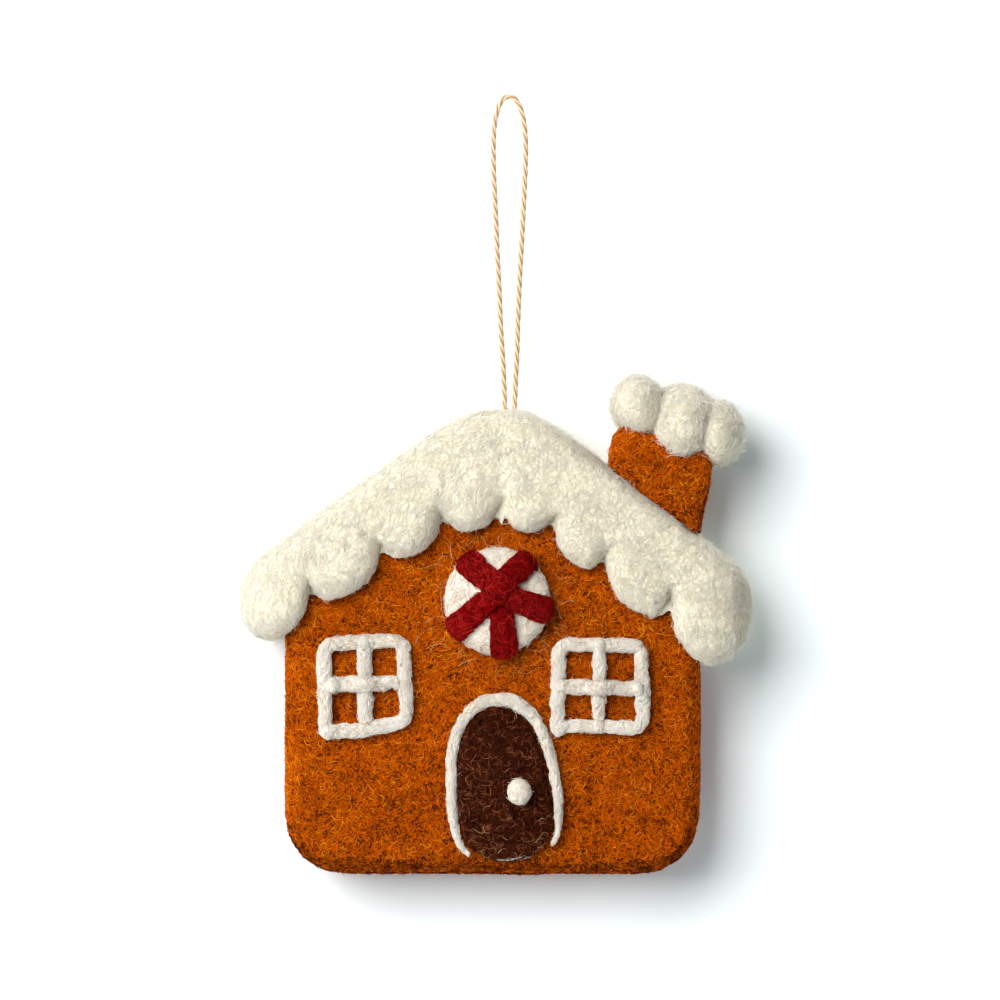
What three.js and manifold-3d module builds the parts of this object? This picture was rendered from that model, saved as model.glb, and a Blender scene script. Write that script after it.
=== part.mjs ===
// A needle-felted wool ornament: a little gingerbread house with a snowy roof, hung on a twisted cotton loop.
// Millimetres, +Z up, the front faces -Y. The origin is inside the top of the loop, where a hook holds it.
import * as THREE from "three";
import { mergeVertices } from "three/addons/utils/BufferGeometryUtils.js";
import Module from "manifold-3d";

const wasm = await Module();
wasm.setup();

// Clearance between two felted pieces that touch
const FELT_GAP = 0.3;
// How deep a flat patch reaches into the surface that it is cut to lie on
const PATCH_ROOT = 2;
// Bodies smaller than this are crumbs that a cut leaves where two surfaces graze
const CRUMB_VOLUME = 0.01;

// Gingerbread wall: a stuffed slab with a gabled outline
const WALL_WIDTH = 83.2;
const WALL_HALF_DEPTH = 8;
const WALL_CROWN = 1.2;
const WALL_EDGE_ROUND = 5;
const LOWER_CORNER_ROUND = 12;
const EAVE_CORNER_ROUND = 6;
const EAVE_HEIGHT = 59.1;
// How far the left eave is below the right one
const LEFT_EAVE_DROP = 1;
const RIDGE_HEIGHT = 88.9;
const RIDGE_OFFSET = 2.4;
const RIDGE_ROUND = 14;
const COVER_THICKNESS = 3;

// Snow: one thick quilt over both slopes, scalloped along its front edge and plain behind
const SNOW_RISE = 8;
const SNOW_RIDGE_REACH = 14;
const SNOW_HALF_DEPTH = 11.4;
const SNOW_SHOULDER = 7;
const SNOW_BACK_DROP = 15.5;
const SNOW_BACK_BLEND = 9;
const SNOW_PUFF = 1.1;
// How far the left slope bulges up between the ridge and its end
const LEFT_SWELL = 1.4;
// How square the quilt's cross-section is: 1 is an ellipse, and less is squarer
const SNOW_SECTION = 0.5;
// Each end past the wall: how far out its tip is, how far the tip is below the eave, and its lobe's sag
const LEFT_TIP = [8.9, 3.5, 8.2];
const RIGHT_TIP = [10.3, 5.5, 11.2];
const TIP_ROUND_WIDTH = 4;
const TIP_ROUND_DEPTH = 9;
// Each notch between two scallops: its place as a share of half the wall's width, its drop below
// the snow's top line, and the sag of the scallop to its right (the last one's is the right tip's)
const NOTCHES = [
  [-0.877, 13.8, 4.7],
  [-0.531, 16.0, 3.6],
  [-0.238, 18.7, 2.6],
  [0.036, 21.8, 2.2],
  [0.281, 20.8, 4.6],
  [0.526, 20.3, 5.5],
  [0.844, 19.8, RIGHT_TIP[2]],
];

// Chimney: a leaning block felted on to the right-hand slope
const CHIMNEY_PLACE = 32.1;
const CHIMNEY_WIDTH = 20;
const CHIMNEY_RISE = 13.6;
const CHIMNEY_ROOT = 12;
const CHIMNEY_LEAN = THREE.MathUtils.degToRad(9.7);
const CHIMNEY_TOP_TILT = THREE.MathUtils.degToRad(6.9);
const CHIMNEY_HALF_DEPTH = 6.8;
const CHIMNEY_ROUND = 2.4;
const CHIMNEY_CROWN = 0.5;
// Each puff of snow on it: place along the chimney's top from its middle, height of its middle above
// the top, half width, half depth and half height. Each is cut to lie against those before it.
const PUFFS = {
  chimney_puff_middle: [3.1, 3.1, 6.0, 10.2, 7.8],
  chimney_puff_left: [-5.9, 3.4, 4.9, 9.4, 6.2],
  chimney_puff_right: [10.1, 3.3, 4.7, 9.0, 6.2],
};

// Peppermint sweet above the door
const MINT_X = 0.9;
const MINT_Z = 54.9;
const MINT_RADIUS = 10.9;
const MINT_HEIGHT = 3.4;
const MINT_CROWN = 1.1;
const MINT_EDGE = 3.2;
const STRIPE_HALF_WIDTH = 2.5;
const STRIPE_HALF_HEIGHT = 1.05;
const STRIPE_STEP = 1.2;
// The upper stripe's climb over the lower one, and the share of its length at which they cross
const STRIPE_CLIMB = 1.3;
const STRIPE_CROSSING = 0.41;
// Each red stripe's ends, at the sweet's edge, and the points it bends through, as x and z from the
// sweet's middle
const STRIPES = {
  mint_stripe_under: [[-6.7, 8.5], [-0.3, 2.9], [1.9, 1], [10.5, -2.4]],
  mint_stripe_over: [[6.7, 8.5], [1.3, 3.7], [-1.2, 1], [-8.8, -6.2]],
  mint_stripe_short: [[1, -0.9], [1.1, -4.2], [1.6, -10.7]],
};

// Door
const DOOR_X = 2.6;
const DOOR_BOTTOM = 2.9;
// Its outline as x and z from the middle of its foot, round from its right-hand side by way of the top
const DOOR_OUTLINE = [
  [9.4, 10.5],
  [8.6, 16.5],
  [6.9, 23],
  [3.6, 28.9],
  [-1.2, 31],
  [-6.2, 28.9],
  [-9, 23],
  [-9.6, 16],
  [-9.2, 8.5],
  [-7.2, 2.8],
  [-1, 0],
  [5.6, 1.3],
  [8.9, 5.2],
];
const DOOR_HEIGHT = 1.1;
const DOOR_CROWN = 0.7;
const DOOR_EDGE = 1.4;
const KNOB_X = 5.3;
const KNOB_Z = 17.1;
const KNOB_HALF_WIDTH = 2.4;
const KNOB_HALF_HEIGHT = 2.7;
const KNOB_SINK = 0.9;

// White felted strands: window bars and the line round the door
const STRAND_SIDES = 8;
const LONG_STRAND_STEP = 1.5;
const SHORT_STRAND_STEP = 0.8;
const STRAND_HALF_WIDTH = 1.35;
const STRAND_HALF_HEIGHT = 0.95;
// How far from its ends a strand reaches its full thickness
const STRAND_END = 0.7;
// The share of a strand's half height by which its middle stands off what it is felted to
const STRAND_SEAT = 0.35;
// How far the crossbar climbs over the upright, and half the length of that climb
const CROSSING_RISE = 1.55;
const CROSSING_REACH = 1.8;
// The line round the door is thickest over the top
const TRIM_HALF_WIDTH = 0.85;
const TRIM_TOP_HALF_WIDTH = 1.25;
const TRIM_HALF_HEIGHT = 0.9;
// Where it starts and ends, as shares of the way round the door from its right-hand side, and the share
// of its width that is left at its ends
const TRIM_START = -0.09;
const TRIM_END = 0.74;
const TRIM_TAIL = 0.45;
// The share of its length over which each end thins out
const TRIM_TAPER = 0.11;
// Each window's strands, as x and z. The frame runs from its lower left corner up, round and back.
const WINDOWS = {
  window_left: {
    frame: [[-33.2, 28.3], [-33.6, 46.4], [-17.8, 47], [-17, 31], [-25.6, 29.2], [-31.5, 29]],
    upright: [[-25.2, 29.2], [-25.5, 46.7]],
    crossbar: [[-33.4, 38.2], [-17.4, 38.7]],
  },
  window_right: {
    frame: [[12.9, 28.9], [13.1, 46.2], [29.5, 46], [29.9, 29.6], [14.6, 30.1]],
    upright: [[21, 29.8], [21.3, 46.2]],
    crossbar: [[13, 37.9], [29.7, 37.4]],
  },
};
const WINDOW_CORNER_ROUND = 2.2;

// Hanging loop of twisted cotton cord
const CORD_DIAMETER = 1.15;
const TAIL_RISE = 0.1;
// How far the cord's feet stand to the right of the ridge
const CORD_OFFSET = 1;
const KNOT_DEPTH = 19;
const KNOT_RADIUS = 1.9;
// How far the tails stop above the knot's middle, and the radius of the pocket in the wool round it
const TAIL_FOOT = 2.75;
const POCKET_RADIUS = 3.7;
// Its route, x and z from the origin, up the left leg, over the hook and down the right leg
const CORD_ROUTE = [
  [-0.86, -61.2],
  [-1.18, -53],
  [-1.64, -46.1],
  [-1.92, -39.2],
  [-2.32, -31.4],
  [-2.62, -24.2],
  [-2.94, -17.7],
  [-3.14, -11.4],
  [-3.06, -7],
  [-2.74, -4],
  [-2.34, -2.2],
  [-1.74, -0.72],
  [-0.94, 0.26],
  [0, 0.575],
  [0.96, 0.27],
  [1.78, -0.7],
  [2.4, -2.15],
  [2.86, -3.95],
  [3.2, -6.8],
  [3.32, -10.6],
  [3.16, -15.6],
  [2.92, -21],
  [2.62, -26.6],
  [2.34, -31.6],
  [2.04, -37.4],
  [1.78, -43.8],
  [1.58, -50.7],
  [1.3, -56.4],
  [1.12, -61.2],
];

const GINGERBREAD = new THREE.MeshStandardMaterial({ color: 0xb85a0a, roughness: 1, metalness: 0 });
const SNOW = new THREE.MeshStandardMaterial({ color: 0xf0efe2, roughness: 1, metalness: 0 });
const ICING = new THREE.MeshStandardMaterial({ color: 0xf1e9df, roughness: 1, metalness: 0 });
const RED = new THREE.MeshStandardMaterial({ color: 0x9c0714, roughness: 1, metalness: 0 });
const CHOCOLATE = new THREE.MeshStandardMaterial({ color: 0x3c1a0c, roughness: 1, metalness: 0 });
const CORE = new THREE.MeshStandardMaterial({ color: 0xdcd4c2, roughness: 1, metalness: 0 });
const CORD = new THREE.MeshStandardMaterial({ color: 0xe8cfa2, roughness: 0.9, metalness: 0 });

// How many points or facets the curved shapes get
const WALL_POINTS = 60;
const HOLLOW_POINTS = 36;
const CHIMNEY_POINTS = 28;
const MINT_POINTS = 26;
const DOOR_POINTS = 30;
const TRIM_POINTS = 60;
const PUFF_FACETS = [14, 10];
const KNOB_FACETS = [12, 8];

// Solids and geometry

// A quarter circle's height, from 0 at the start to 1 from the far end on
const quarter = (share) => Math.sqrt(1 - Math.pow(1 - THREE.MathUtils.clamp(share, 0, 1), 2));

// A closed geometry as a solid, turned right side out if its faces point inwards.
function solidOf(geometry) {
  const bare = geometry.clone();
  bare.deleteAttribute("normal");
  bare.deleteAttribute("uv");
  const merged = mergeVertices(bare, 1e-4);
  const triVerts = new Uint32Array(merged.index.array);
  const vertProperties = new Float32Array(merged.attributes.position.array);
  const made = new wasm.Manifold(new wasm.Mesh({ numProp: 3, vertProperties, triVerts }));
  if (made.volume() > 0) return made;
  const turned = triVerts.slice();
  for (let i = 0; i < turned.length; i += 3) [turned[i], turned[i + 1]] = [turned[i + 1], turned[i]];
  return new wasm.Manifold(new wasm.Mesh({ numProp: 3, vertProperties, triVerts: turned }));
}

function geometryOf(solid) {
  const mesh = solid.getMesh();
  const geometry = new THREE.BufferGeometry();
  geometry.setAttribute("position", new THREE.BufferAttribute(new Float32Array(mesh.vertProperties), 3));
  geometry.setIndex(new THREE.BufferAttribute(new Uint32Array(mesh.triVerts), 1));
  geometry.computeVertexNormals();
  return geometry;
}

function withoutCrumbs(solid) {
  return wasm.Manifold.compose(solid.decompose().filter((body) => body.volume() > CRUMB_VOLUME));
}

function piece(name, solid, material) {
  const mesh = new THREE.Mesh(geometryOf(withoutCrumbs(solid)), material);
  mesh.name = name;
  return mesh;
}

// A closed skin over a row of rings with as many points each. Its first and last entries are single points.
function loft(rings) {
  const [start, ...rest] = rings;
  const end = rest.pop();
  const sides = rest[0].length;
  const points = [start, ...rest.flat(), end];
  const last = points.length - 1;
  const at = (ring, side) => 1 + ring * sides + (side % sides);
  const triangles = [];
  for (let side = 0; side < sides; side++) {
    triangles.push(0, at(0, side + 1), at(0, side));
    triangles.push(last, at(rest.length - 1, side), at(rest.length - 1, side + 1));
    for (let ring = 0; ring + 1 < rest.length; ring++) {
      triangles.push(at(ring, side), at(ring, side + 1), at(ring + 1, side + 1));
      triangles.push(at(ring, side), at(ring + 1, side + 1), at(ring + 1, side));
    }
  }
  return new THREE.BufferGeometry().setFromPoints(points).setIndex(triangles);
}

function ellipsoid([x, y, z], [halfX, halfY, halfZ], facets) {
  const ball = new THREE.SphereGeometry(1, ...facets);
  ball.scale(halfX, halfY, halfZ);
  ball.translate(x, y, z);
  return solidOf(ball);
}

// Outlines in the plane of the front face

// A polygon whose corners, each [x, z, radius], are rounded by arcs, as evenly spaced points.
function roundedOutline(corners, count) {
  const shape = new THREE.Path();
  corners.forEach(([x, z, radius], i) => {
    const corner = new THREE.Vector2(x, z);
    const before = new THREE.Vector2(...corners.at(i - 1)).sub(corner).normalize();
    const after = new THREE.Vector2(...corners[(i + 1) % corners.length]).sub(corner).normalize();
    const half = Math.acos(THREE.MathUtils.clamp(before.dot(after), -1, 1)) / 2;
    const middle = before.clone().add(after).normalize();
    const centre = corner.clone().addScaledVector(middle, radius / Math.sin(half));
    const from = corner.clone().addScaledVector(before, radius / Math.tan(half)).sub(centre).angle();
    const to = corner.clone().addScaledVector(after, radius / Math.tan(half)).sub(centre).angle();
    shape.absarc(centre.x, centre.y, radius, from, to, false);
  });
  shape.closePath();
  return shape.getSpacedPoints(count).slice(0, count);
}

// The outward normal at each point of an outline that runs anticlockwise.
function outwards(outline) {
  return outline.map((_, i) => {
    const along = outline[(i + 1) % outline.length].clone().sub(outline.at(i - 1)).normalize();
    return new THREE.Vector2(along.y, -along.x);
  });
}

// A stuffed slab standing on its outline, with flat sides, soft edges and two crowned faces.
// Grow offsets its whole surface.
function stuffedSlab(outline, middle, { half, edge, crown }, grow = 0) {
  const normals = outwards(outline);
  const edgeSteps = 3;
  const crownSteps = 3;
  const face = (side) => {
    const rings = [];
    for (let i = 0; i <= edgeSteps; i++) {
      const turn = (Math.PI / 2) * (i / edgeSteps);
      const out = (edge + grow) * Math.cos(turn) - edge;
      const depth = half - edge + (edge + grow) * Math.sin(turn);
      const offset = outline.map((p, k) => p.clone().addScaledVector(normals[k], out));
      rings.push(offset.map((p) => new THREE.Vector3(p.x, side * depth, p.y)));
    }
    const rim = rings[edgeSteps];
    for (let i = 1; i < crownSteps; i++) {
      const share = 1 - i / crownSteps;
      const depth = side * (half + grow + crown * (1 - share * share));
      const centre = new THREE.Vector3(middle.x, depth, middle.y);
      rings.push(rim.map((p) => new THREE.Vector3(p.x, depth, p.z).lerp(centre, 1 - share)));
    }
    return [...rings, new THREE.Vector3(middle.x, side * (half + grow + crown), middle.y)];
  };
  return solidOf(loft([...face(1).reverse(), ...face(-1)]));
}

// Surfaces that pieces are felted on to

const caster = new THREE.Raycaster();
const CAST_FROM = -200;

// Gives the y of the foremost surface of some solids at any x and z.
function frontOf(...solids) {
  const targets = solids.map((solid) => new THREE.Mesh(geometryOf(solid), new THREE.MeshBasicMaterial()));
  return (x, z) => {
    caster.set(new THREE.Vector3(x, CAST_FROM, z), new THREE.Vector3(0, 1, 0));
    const [hit] = caster.intersectObjects(targets);
    if (!hit) throw new Error(`nothing to felt on to at x ${x.toFixed(1)}, z ${z.toFixed(1)}`);
    return hit.point.y;
  };
}

// A flat dome felted on to a surface, with a round edge. Its root reaches into the surface, to be cut off.
function patch(outline, middle, { height, crown, edge }, front) {
  const normals = outwards(outline);
  const edgeSteps = 3;
  const place = (p, rise) => new THREE.Vector3(p.x, front(p.x, p.y) - FELT_GAP - rise, p.y);
  const rings = [place(middle, -PATCH_ROOT), outline.map((p) => place(p, -PATCH_ROOT))];
  for (let i = 1; i <= edgeSteps; i++) {
    const turn = (Math.PI / 2) * (i / edgeSteps);
    const inset = edge * (1 - Math.cos(turn));
    const inwards = (p, k) => p.clone().addScaledVector(normals[k], -inset);
    rings.push(outline.map((p, k) => place(inwards(p, k), height * Math.sin(turn))));
  }
  const dome = outline.map((p, k) => p.clone().addScaledVector(normals[k], -edge).lerp(middle, 0.5));
  rings.push(dome.map((p) => place(p, height + crown * 0.75)));
  rings.push(place(middle, height + crown));
  return solidOf(loft(rings));
}

// A strand of wool laid along a path of x and z, with round ends. At each share of its length, sizeAt gives
// its half width and half height, and rise the height of its middle above the surface.
function strand(path, step, sizeAt, rise, front) {
  const long = path.getLength();
  const steps = Math.round((long - 2 * STRAND_END) / step);
  const even = Array.from({ length: steps + 1 }, (_, i) =>
    THREE.MathUtils.lerp(STRAND_END, long - STRAND_END, i / steps),
  );
  const nearEnd = STRAND_END / 4;
  const shares = [0, nearEnd, ...even, long - nearEnd, long].map((distance) => distance / long);
  const line = shares.map((share) => {
    const { x, y: z } = path.getPointAt(share);
    return new THREE.Vector3(x, front(x, z) - rise(share), z);
  });
  const toFront = new THREE.Vector3(0, -1, 0);
  const rings = line.slice(1, -1).map((centre, k) => {
    const share = shares[k + 1];
    const along = line[k + 2].clone().sub(line[k]).normalize();
    const across = along.clone().cross(toFront).normalize();
    const up = across.clone().cross(along);
    const [halfWidth, halfHeight] = sizeAt(share);
    const end = quarter((long * Math.min(share, 1 - share)) / STRAND_END);
    return Array.from({ length: STRAND_SIDES }, (_, side) => {
      const turn = (2 * Math.PI * side) / STRAND_SIDES;
      return centre
        .clone()
        .addScaledVector(across, halfWidth * end * Math.cos(turn))
        .addScaledVector(up, halfHeight * end * Math.sin(turn));
    });
  });
  return solidOf(loft([line[0], ...rings, line.at(-1)]));
}

// A path through corners, each rounded off by a curve, that stays open.
function roundedPath(corners, round) {
  const points = corners.map(([x, z]) => new THREE.Vector2(x, z));
  const path = new THREE.Path().moveTo(points[0].x, points[0].y);
  for (let i = 1; i + 1 < points.length; i++) {
    const corner = points[i];
    const towards = (other) => corner.clone().add(other.clone().sub(corner).setLength(round));
    const from = towards(points[i - 1]);
    const to = towards(points[i + 1]);
    path.lineTo(from.x, from.y).quadraticCurveTo(corner.x, corner.y, to.x, to.y);
  }
  return path.lineTo(points.at(-1).x, points.at(-1).y);
}

// The gingerbread wall and the wool inside it

const halfWidth = WALL_WIDTH / 2;
const leftEave = new THREE.Vector2(-halfWidth, EAVE_HEIGHT - LEFT_EAVE_DROP);
const rightEave = new THREE.Vector2(halfWidth, EAVE_HEIGHT);
const ridge = new THREE.Vector2(RIDGE_OFFSET, RIDGE_HEIGHT);

function wallOutline(count) {
  return roundedOutline(
    [
      [-halfWidth, 0, LOWER_CORNER_ROUND],
      [halfWidth, 0, LOWER_CORNER_ROUND],
      [rightEave.x, rightEave.y, EAVE_CORNER_ROUND],
      [ridge.x, ridge.y, RIDGE_ROUND],
      [leftEave.x, leftEave.y, EAVE_CORNER_ROUND],
    ],
    count,
  );
}

const wallMiddle = new THREE.Vector2(0, EAVE_HEIGHT / 2);
const wallProfile = { half: WALL_HALF_DEPTH, edge: WALL_EDGE_ROUND, crown: WALL_CROWN };
const wallGrown = (grow, count) => stuffedSlab(wallOutline(count), wallMiddle, wallProfile, grow);
const wallSolid = wallGrown(0, WALL_POINTS);
const wallClear = wallGrown(FELT_GAP, WALL_POINTS);
const wallFront = frontOf(wallSolid);

// Snow on the roof

// The height of a line of points, ordered by x, at any x.
function heightOn(line, x) {
  const i = Math.max(1, line.findIndex((p) => p.x >= x));
  return THREE.MathUtils.mapLinear(x, line[i - 1].x, line[i].x, line[i - 1].y, line[i].y);
}

const eaveReach = LEFT_TIP[0] + RIGHT_TIP[0];
const pastEave = (eave) => eave.clone().add(eave.clone().sub(ridge).setLength(eaveReach));
const gable = [pastEave(leftEave), ridge, pastEave(rightEave)].map((p) => [p.x, p.y + SNOW_RISE]);
const gableLine = roundedPath(gable, SNOW_RIDGE_REACH).getPoints(12);
const leftTip = new THREE.Vector2(-halfWidth - LEFT_TIP[0], leftEave.y - LEFT_TIP[1]);
const rightTip = new THREE.Vector2(halfWidth + RIGHT_TIP[0], rightEave.y - RIGHT_TIP[1]);

function snowTopAt(x) {
  const tip = x < ridge.x ? leftTip : rightTip;
  const rounded = quarter(Math.abs(x - tip.x) / TIP_ROUND_WIDTH);
  return THREE.MathUtils.lerp(tip.y, heightOn(gableLine, x), rounded);
}

// The places across the quilt where it has a section: its x, the height of its front edge, and how far
// it stands into its scallop, from 0 at a notch to 1 in the middle
function snowStations() {
  const stepsEach = 6;
  const notches = [
    [leftTip, LEFT_TIP[2]],
    ...NOTCHES.map(([share, drop, sag]) => {
      const x = share * halfWidth;
      return [new THREE.Vector2(x, snowTopAt(x) - drop), sag];
    }),
    [rightTip, 0],
  ];
  const stations = [];
  for (let i = 0; i + 1 < notches.length; i++) {
    const [from, sag] = notches[i];
    const [to] = notches[i + 1];
    for (let step = 0; step < stepsEach; step++) {
      const turn = (Math.PI * step) / stepsEach;
      const at = from.clone().lerp(to, (1 - Math.cos(turn)) / 2);
      stations.push({ x: at.x, edge: at.y - sag * Math.sin(turn), inScallop: Math.sin(turn) });
    }
  }
  return stations.slice(1);
}

function swellAt(x) {
  const share = (ridge.x - x) / (ridge.x - leftTip.x);
  return LEFT_SWELL * Math.sin(Math.PI * THREE.MathUtils.clamp(share, 0, 1));
}

function snowSection({ x, edge, inScallop }, grow) {
  const sides = 20;
  const soften = (value) => Math.sign(value) * Math.pow(Math.abs(value), SNOW_SECTION);
  const fromTip = Math.min(x - leftTip.x, rightTip.x - x);
  const depth = SNOW_HALF_DEPTH * quarter(fromTip / TIP_ROUND_DEPTH) + grow;
  const top = snowTopAt(x) + swellAt(x) + grow;
  const behindWall = THREE.MathUtils.smoothstep(Math.abs(x), halfWidth - SNOW_BACK_BLEND, halfWidth);
  const backEdge = THREE.MathUtils.lerp(top - SNOW_BACK_DROP, edge, behindWall) - grow;
  const middle = Math.max(top - SNOW_SHOULDER, (top + Math.max(edge, backEdge)) / 2);
  return Array.from({ length: sides }, (_, side) => {
    const turn = (2 * Math.PI * side) / sides;
    const forwards = soften(Math.cos(turn));
    const upwards = soften(Math.sin(turn));
    const low = forwards > 0 ? edge - grow : backEdge;
    const puff = forwards > 0 ? SNOW_PUFF * inScallop * Math.max(0, -upwards) : 0;
    const z = upwards > 0 ? middle + (top - middle) * upwards : middle + (middle - low) * upwards;
    return new THREE.Vector3(x, -forwards * (depth + puff), z);
  });
}

function snowQuilt(grow) {
  const tip = (at, side) => new THREE.Vector3(at.x + side * grow, 0, at.y);
  const sections = snowStations().map((station) => snowSection(station, grow));
  return solidOf(loft([tip(leftTip, -1), ...sections, tip(rightTip, 1)]));
}

const snowBulk = snowQuilt(0);
const snowClear = snowQuilt(FELT_GAP);

// The cord's tails go down through the snow and the cover to a knot buried in the core

const route = CORD_ROUTE.map(([x, z]) => new THREE.Vector3(x, 0, z));
const leftFoot = route[0];
const rightFoot = route.at(-1);
const footMiddle = leftFoot.clone().add(rightFoot).multiplyScalar(0.5);
const footSpread = rightFoot.x - leftFoot.x;
const cordRadius = CORD_DIAMETER / 2;
const snowTop = snowBulk.boundingBox().max[2];
const knotZ = snowTop - KNOT_DEPTH;
const cordX = RIDGE_OFFSET + CORD_OFFSET;

const tailClear = cordRadius + FELT_GAP;
const slot = new THREE.Shape();
slot.absarc(footSpread / 2, 0, tailClear, -Math.PI / 2, Math.PI / 2);
slot.absarc(-footSpread / 2, 0, tailClear, Math.PI / 2, (3 * Math.PI) / 2);
const tunnelLength = KNOT_DEPTH + CORD_DIAMETER;
const slotCut = { depth: tunnelLength, bevelEnabled: false, curveSegments: 4 };
const tunnel = solidOf(new THREE.ExtrudeGeometry(slot, slotCut).translate(cordX, 0, knotZ));
const pocketDepth = KNOT_RADIUS + 2 * tailClear;
const pocketShape = new THREE.CylinderGeometry(POCKET_RADIUS, POCKET_RADIUS, pocketDepth, 16);
const pocket = solidOf(pocketShape.translate(cordX, 0, knotZ));

function cordKnot() {
  const knot = new THREE.TorusKnotGeometry(KNOT_RADIUS, cordRadius, 42, 6, 2, 3);
  knot.rotateX(Math.PI / 2);
  knot.rotateY(-Math.PI / 2);
  knot.translate(cordX, 0, knotZ);
  const topOfTails = snowTop + TAIL_RISE;
  const footOfTails = knotZ + TAIL_FOOT;
  const tails = [-1, 1].map((side) => {
    const tail = new THREE.CylinderGeometry(cordRadius, cordRadius, topOfTails - footOfTails, 8);
    tail.rotateX(Math.PI / 2);
    tail.translate(cordX + (side * footSpread) / 2, 0, (topOfTails + footOfTails) / 2);
    return solidOf(tail);
  });
  return solidOf(knot).add(tails[0]).add(tails[1]);
}

// Chimney and the puffs of snow on it

const chimneyFoot = new THREE.Vector2(CHIMNEY_PLACE, snowTopAt(CHIMNEY_PLACE));
const chimneyUp = new THREE.Vector2(Math.sin(CHIMNEY_LEAN), Math.cos(CHIMNEY_LEAN));
const chimneyAlong = new THREE.Vector2(chimneyUp.y, -chimneyUp.x);
const fromFoot = (along, up) =>
  chimneyFoot.clone().addScaledVector(chimneyAlong, along).addScaledVector(chimneyUp, up);
// The height of the chimney's sloping top above its foot
const chimneyTop = (along) => CHIMNEY_RISE - along * Math.tan(CHIMNEY_TOP_TILT);

function chimneySolid(grow) {
  const half = CHIMNEY_WIDTH / 2;
  const corners = [
    [-half, -CHIMNEY_ROOT],
    [half, -CHIMNEY_ROOT],
    [half, chimneyTop(half)],
    [-half, chimneyTop(-half)],
  ].map(([along, up]) => [...fromFoot(along, up).toArray(), CHIMNEY_ROUND]);
  const profile = { half: CHIMNEY_HALF_DEPTH, edge: CHIMNEY_ROUND, crown: CHIMNEY_CROWN };
  return stuffedSlab(roundedOutline(corners, CHIMNEY_POINTS), fromFoot(0, 0), profile, grow);
}

function puffSolid([along, above, halfX, halfY, halfZ], grow) {
  const at = fromFoot(along, chimneyTop(along) + above);
  return ellipsoid([at.x, 0, at.y], [halfX + grow, halfY + grow, halfZ + grow], PUFF_FACETS);
}

// Peppermint sweet

const mintMiddle = new THREE.Vector2(MINT_X, MINT_Z);
const mintProfile = { height: MINT_HEIGHT, crown: MINT_CROWN, edge: MINT_EDGE };

function mintSolid(grow) {
  const rim = new THREE.Path().absarc(MINT_X, MINT_Z, MINT_RADIUS + grow, 0, 2 * Math.PI);
  const outline = rim.getSpacedPoints(MINT_POINTS).slice(0, MINT_POINTS);
  const profile = { ...mintProfile, height: MINT_HEIGHT + grow };
  return patch(outline, mintMiddle, profile, wallFront).subtract(wallClear).subtract(snowClear);
}

const mintDisc = mintSolid(0);
const mintFront = frontOf(wallSolid, mintDisc);

// A red stripe, laid over the sweet and down its edge, before it is cut to lie on what is under it. Climb
// is its extra height where it crosses another.
function mintStripe(points, climb, grow) {
  const curve = new THREE.SplineCurve(points.map(([x, z]) => new THREE.Vector2(MINT_X + x, MINT_Z + z)));
  const size = () => [STRIPE_HALF_WIDTH + grow, STRIPE_HALF_HEIGHT + grow];
  const rise = (share) => STRAND_SEAT * STRIPE_HALF_HEIGHT + FELT_GAP + climb(share);
  return strand(curve, STRIPE_STEP, size, rise, mintFront);
}

function mintStripes() {
  const { mint_stripe_under: under, mint_stripe_over: over, mint_stripe_short: short } = STRIPES;
  const flat = () => 0;
  const hump = (share) => STRIPE_CLIMB * Math.exp(-Math.pow((2 * share) / STRIPE_CROSSING - 2, 2));
  const ground = mintSolid(FELT_GAP).add(wallClear).add(snowClear);
  const underTaken = ground.add(mintStripe(under, flat, FELT_GAP));
  const bothTaken = underTaken.add(mintStripe(over, hump, FELT_GAP));
  return {
    mint_stripe_under: mintStripe(under, flat, 0).subtract(ground),
    mint_stripe_over: mintStripe(over, hump, 0).subtract(underTaken),
    mint_stripe_short: mintStripe(short, flat, 0).subtract(bothTaken),
  };
}

// Door, its line of icing and its knob

const doorCurve = new THREE.CatmullRomCurve3(
  DOOR_OUTLINE.map(([x, z]) => new THREE.Vector3(DOOR_X + x, 0, DOOR_BOTTOM + z)),
  true,
);
const doorOutline = (count) =>
  doorCurve.getSpacedPoints(count).slice(0, count).map((p) => new THREE.Vector2(p.x, p.z));
const doorMiddle = new THREE.Box2().setFromPoints(doorOutline(DOOR_POINTS)).getCenter(new THREE.Vector2());
const doorProfile = { height: DOOR_HEIGHT, crown: DOOR_CROWN, edge: DOOR_EDGE };
const doorPatch = patch(doorOutline(DOOR_POINTS), doorMiddle, doorProfile, wallFront);
const doorPanel = doorPatch.subtract(wallClear);

// The icing runs round the door from low on its right side, over the arch, to its lower left corner.
function doorTrim() {
  const line = doorOutline(TRIM_POINTS);
  const normals = outwards(line);
  const halfWidthAt = (share) =>
    THREE.MathUtils.lerp(TRIM_HALF_WIDTH, TRIM_TOP_HALF_WIDTH, Math.pow(Math.sin(Math.PI * share), 4));
  const start = Math.round(TRIM_START * TRIM_POINTS);
  const end = Math.round(TRIM_END * TRIM_POINTS);
  const route = [];
  for (let i = start; i <= end; i += 2) {
    const k = (i + TRIM_POINTS) % TRIM_POINTS;
    const beside = halfWidthAt((i - start) / (end - start)) + FELT_GAP;
    route.push(line[k].clone().addScaledVector(normals[k], beside));
  }
  const sizeAt = (share) => {
    const thin = THREE.MathUtils.lerp(TRIM_TAIL, 1, Math.min(1, Math.min(share, 1 - share) / TRIM_TAPER));
    return [halfWidthAt(share) * thin, TRIM_HALF_HEIGHT * thin];
  };
  const rise = () => STRAND_SEAT * TRIM_HALF_HEIGHT + FELT_GAP;
  const trim = strand(new THREE.SplineCurve(route), LONG_STRAND_STEP, sizeAt, rise, wallFront);
  return trim.subtract(wallClear);
}

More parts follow.
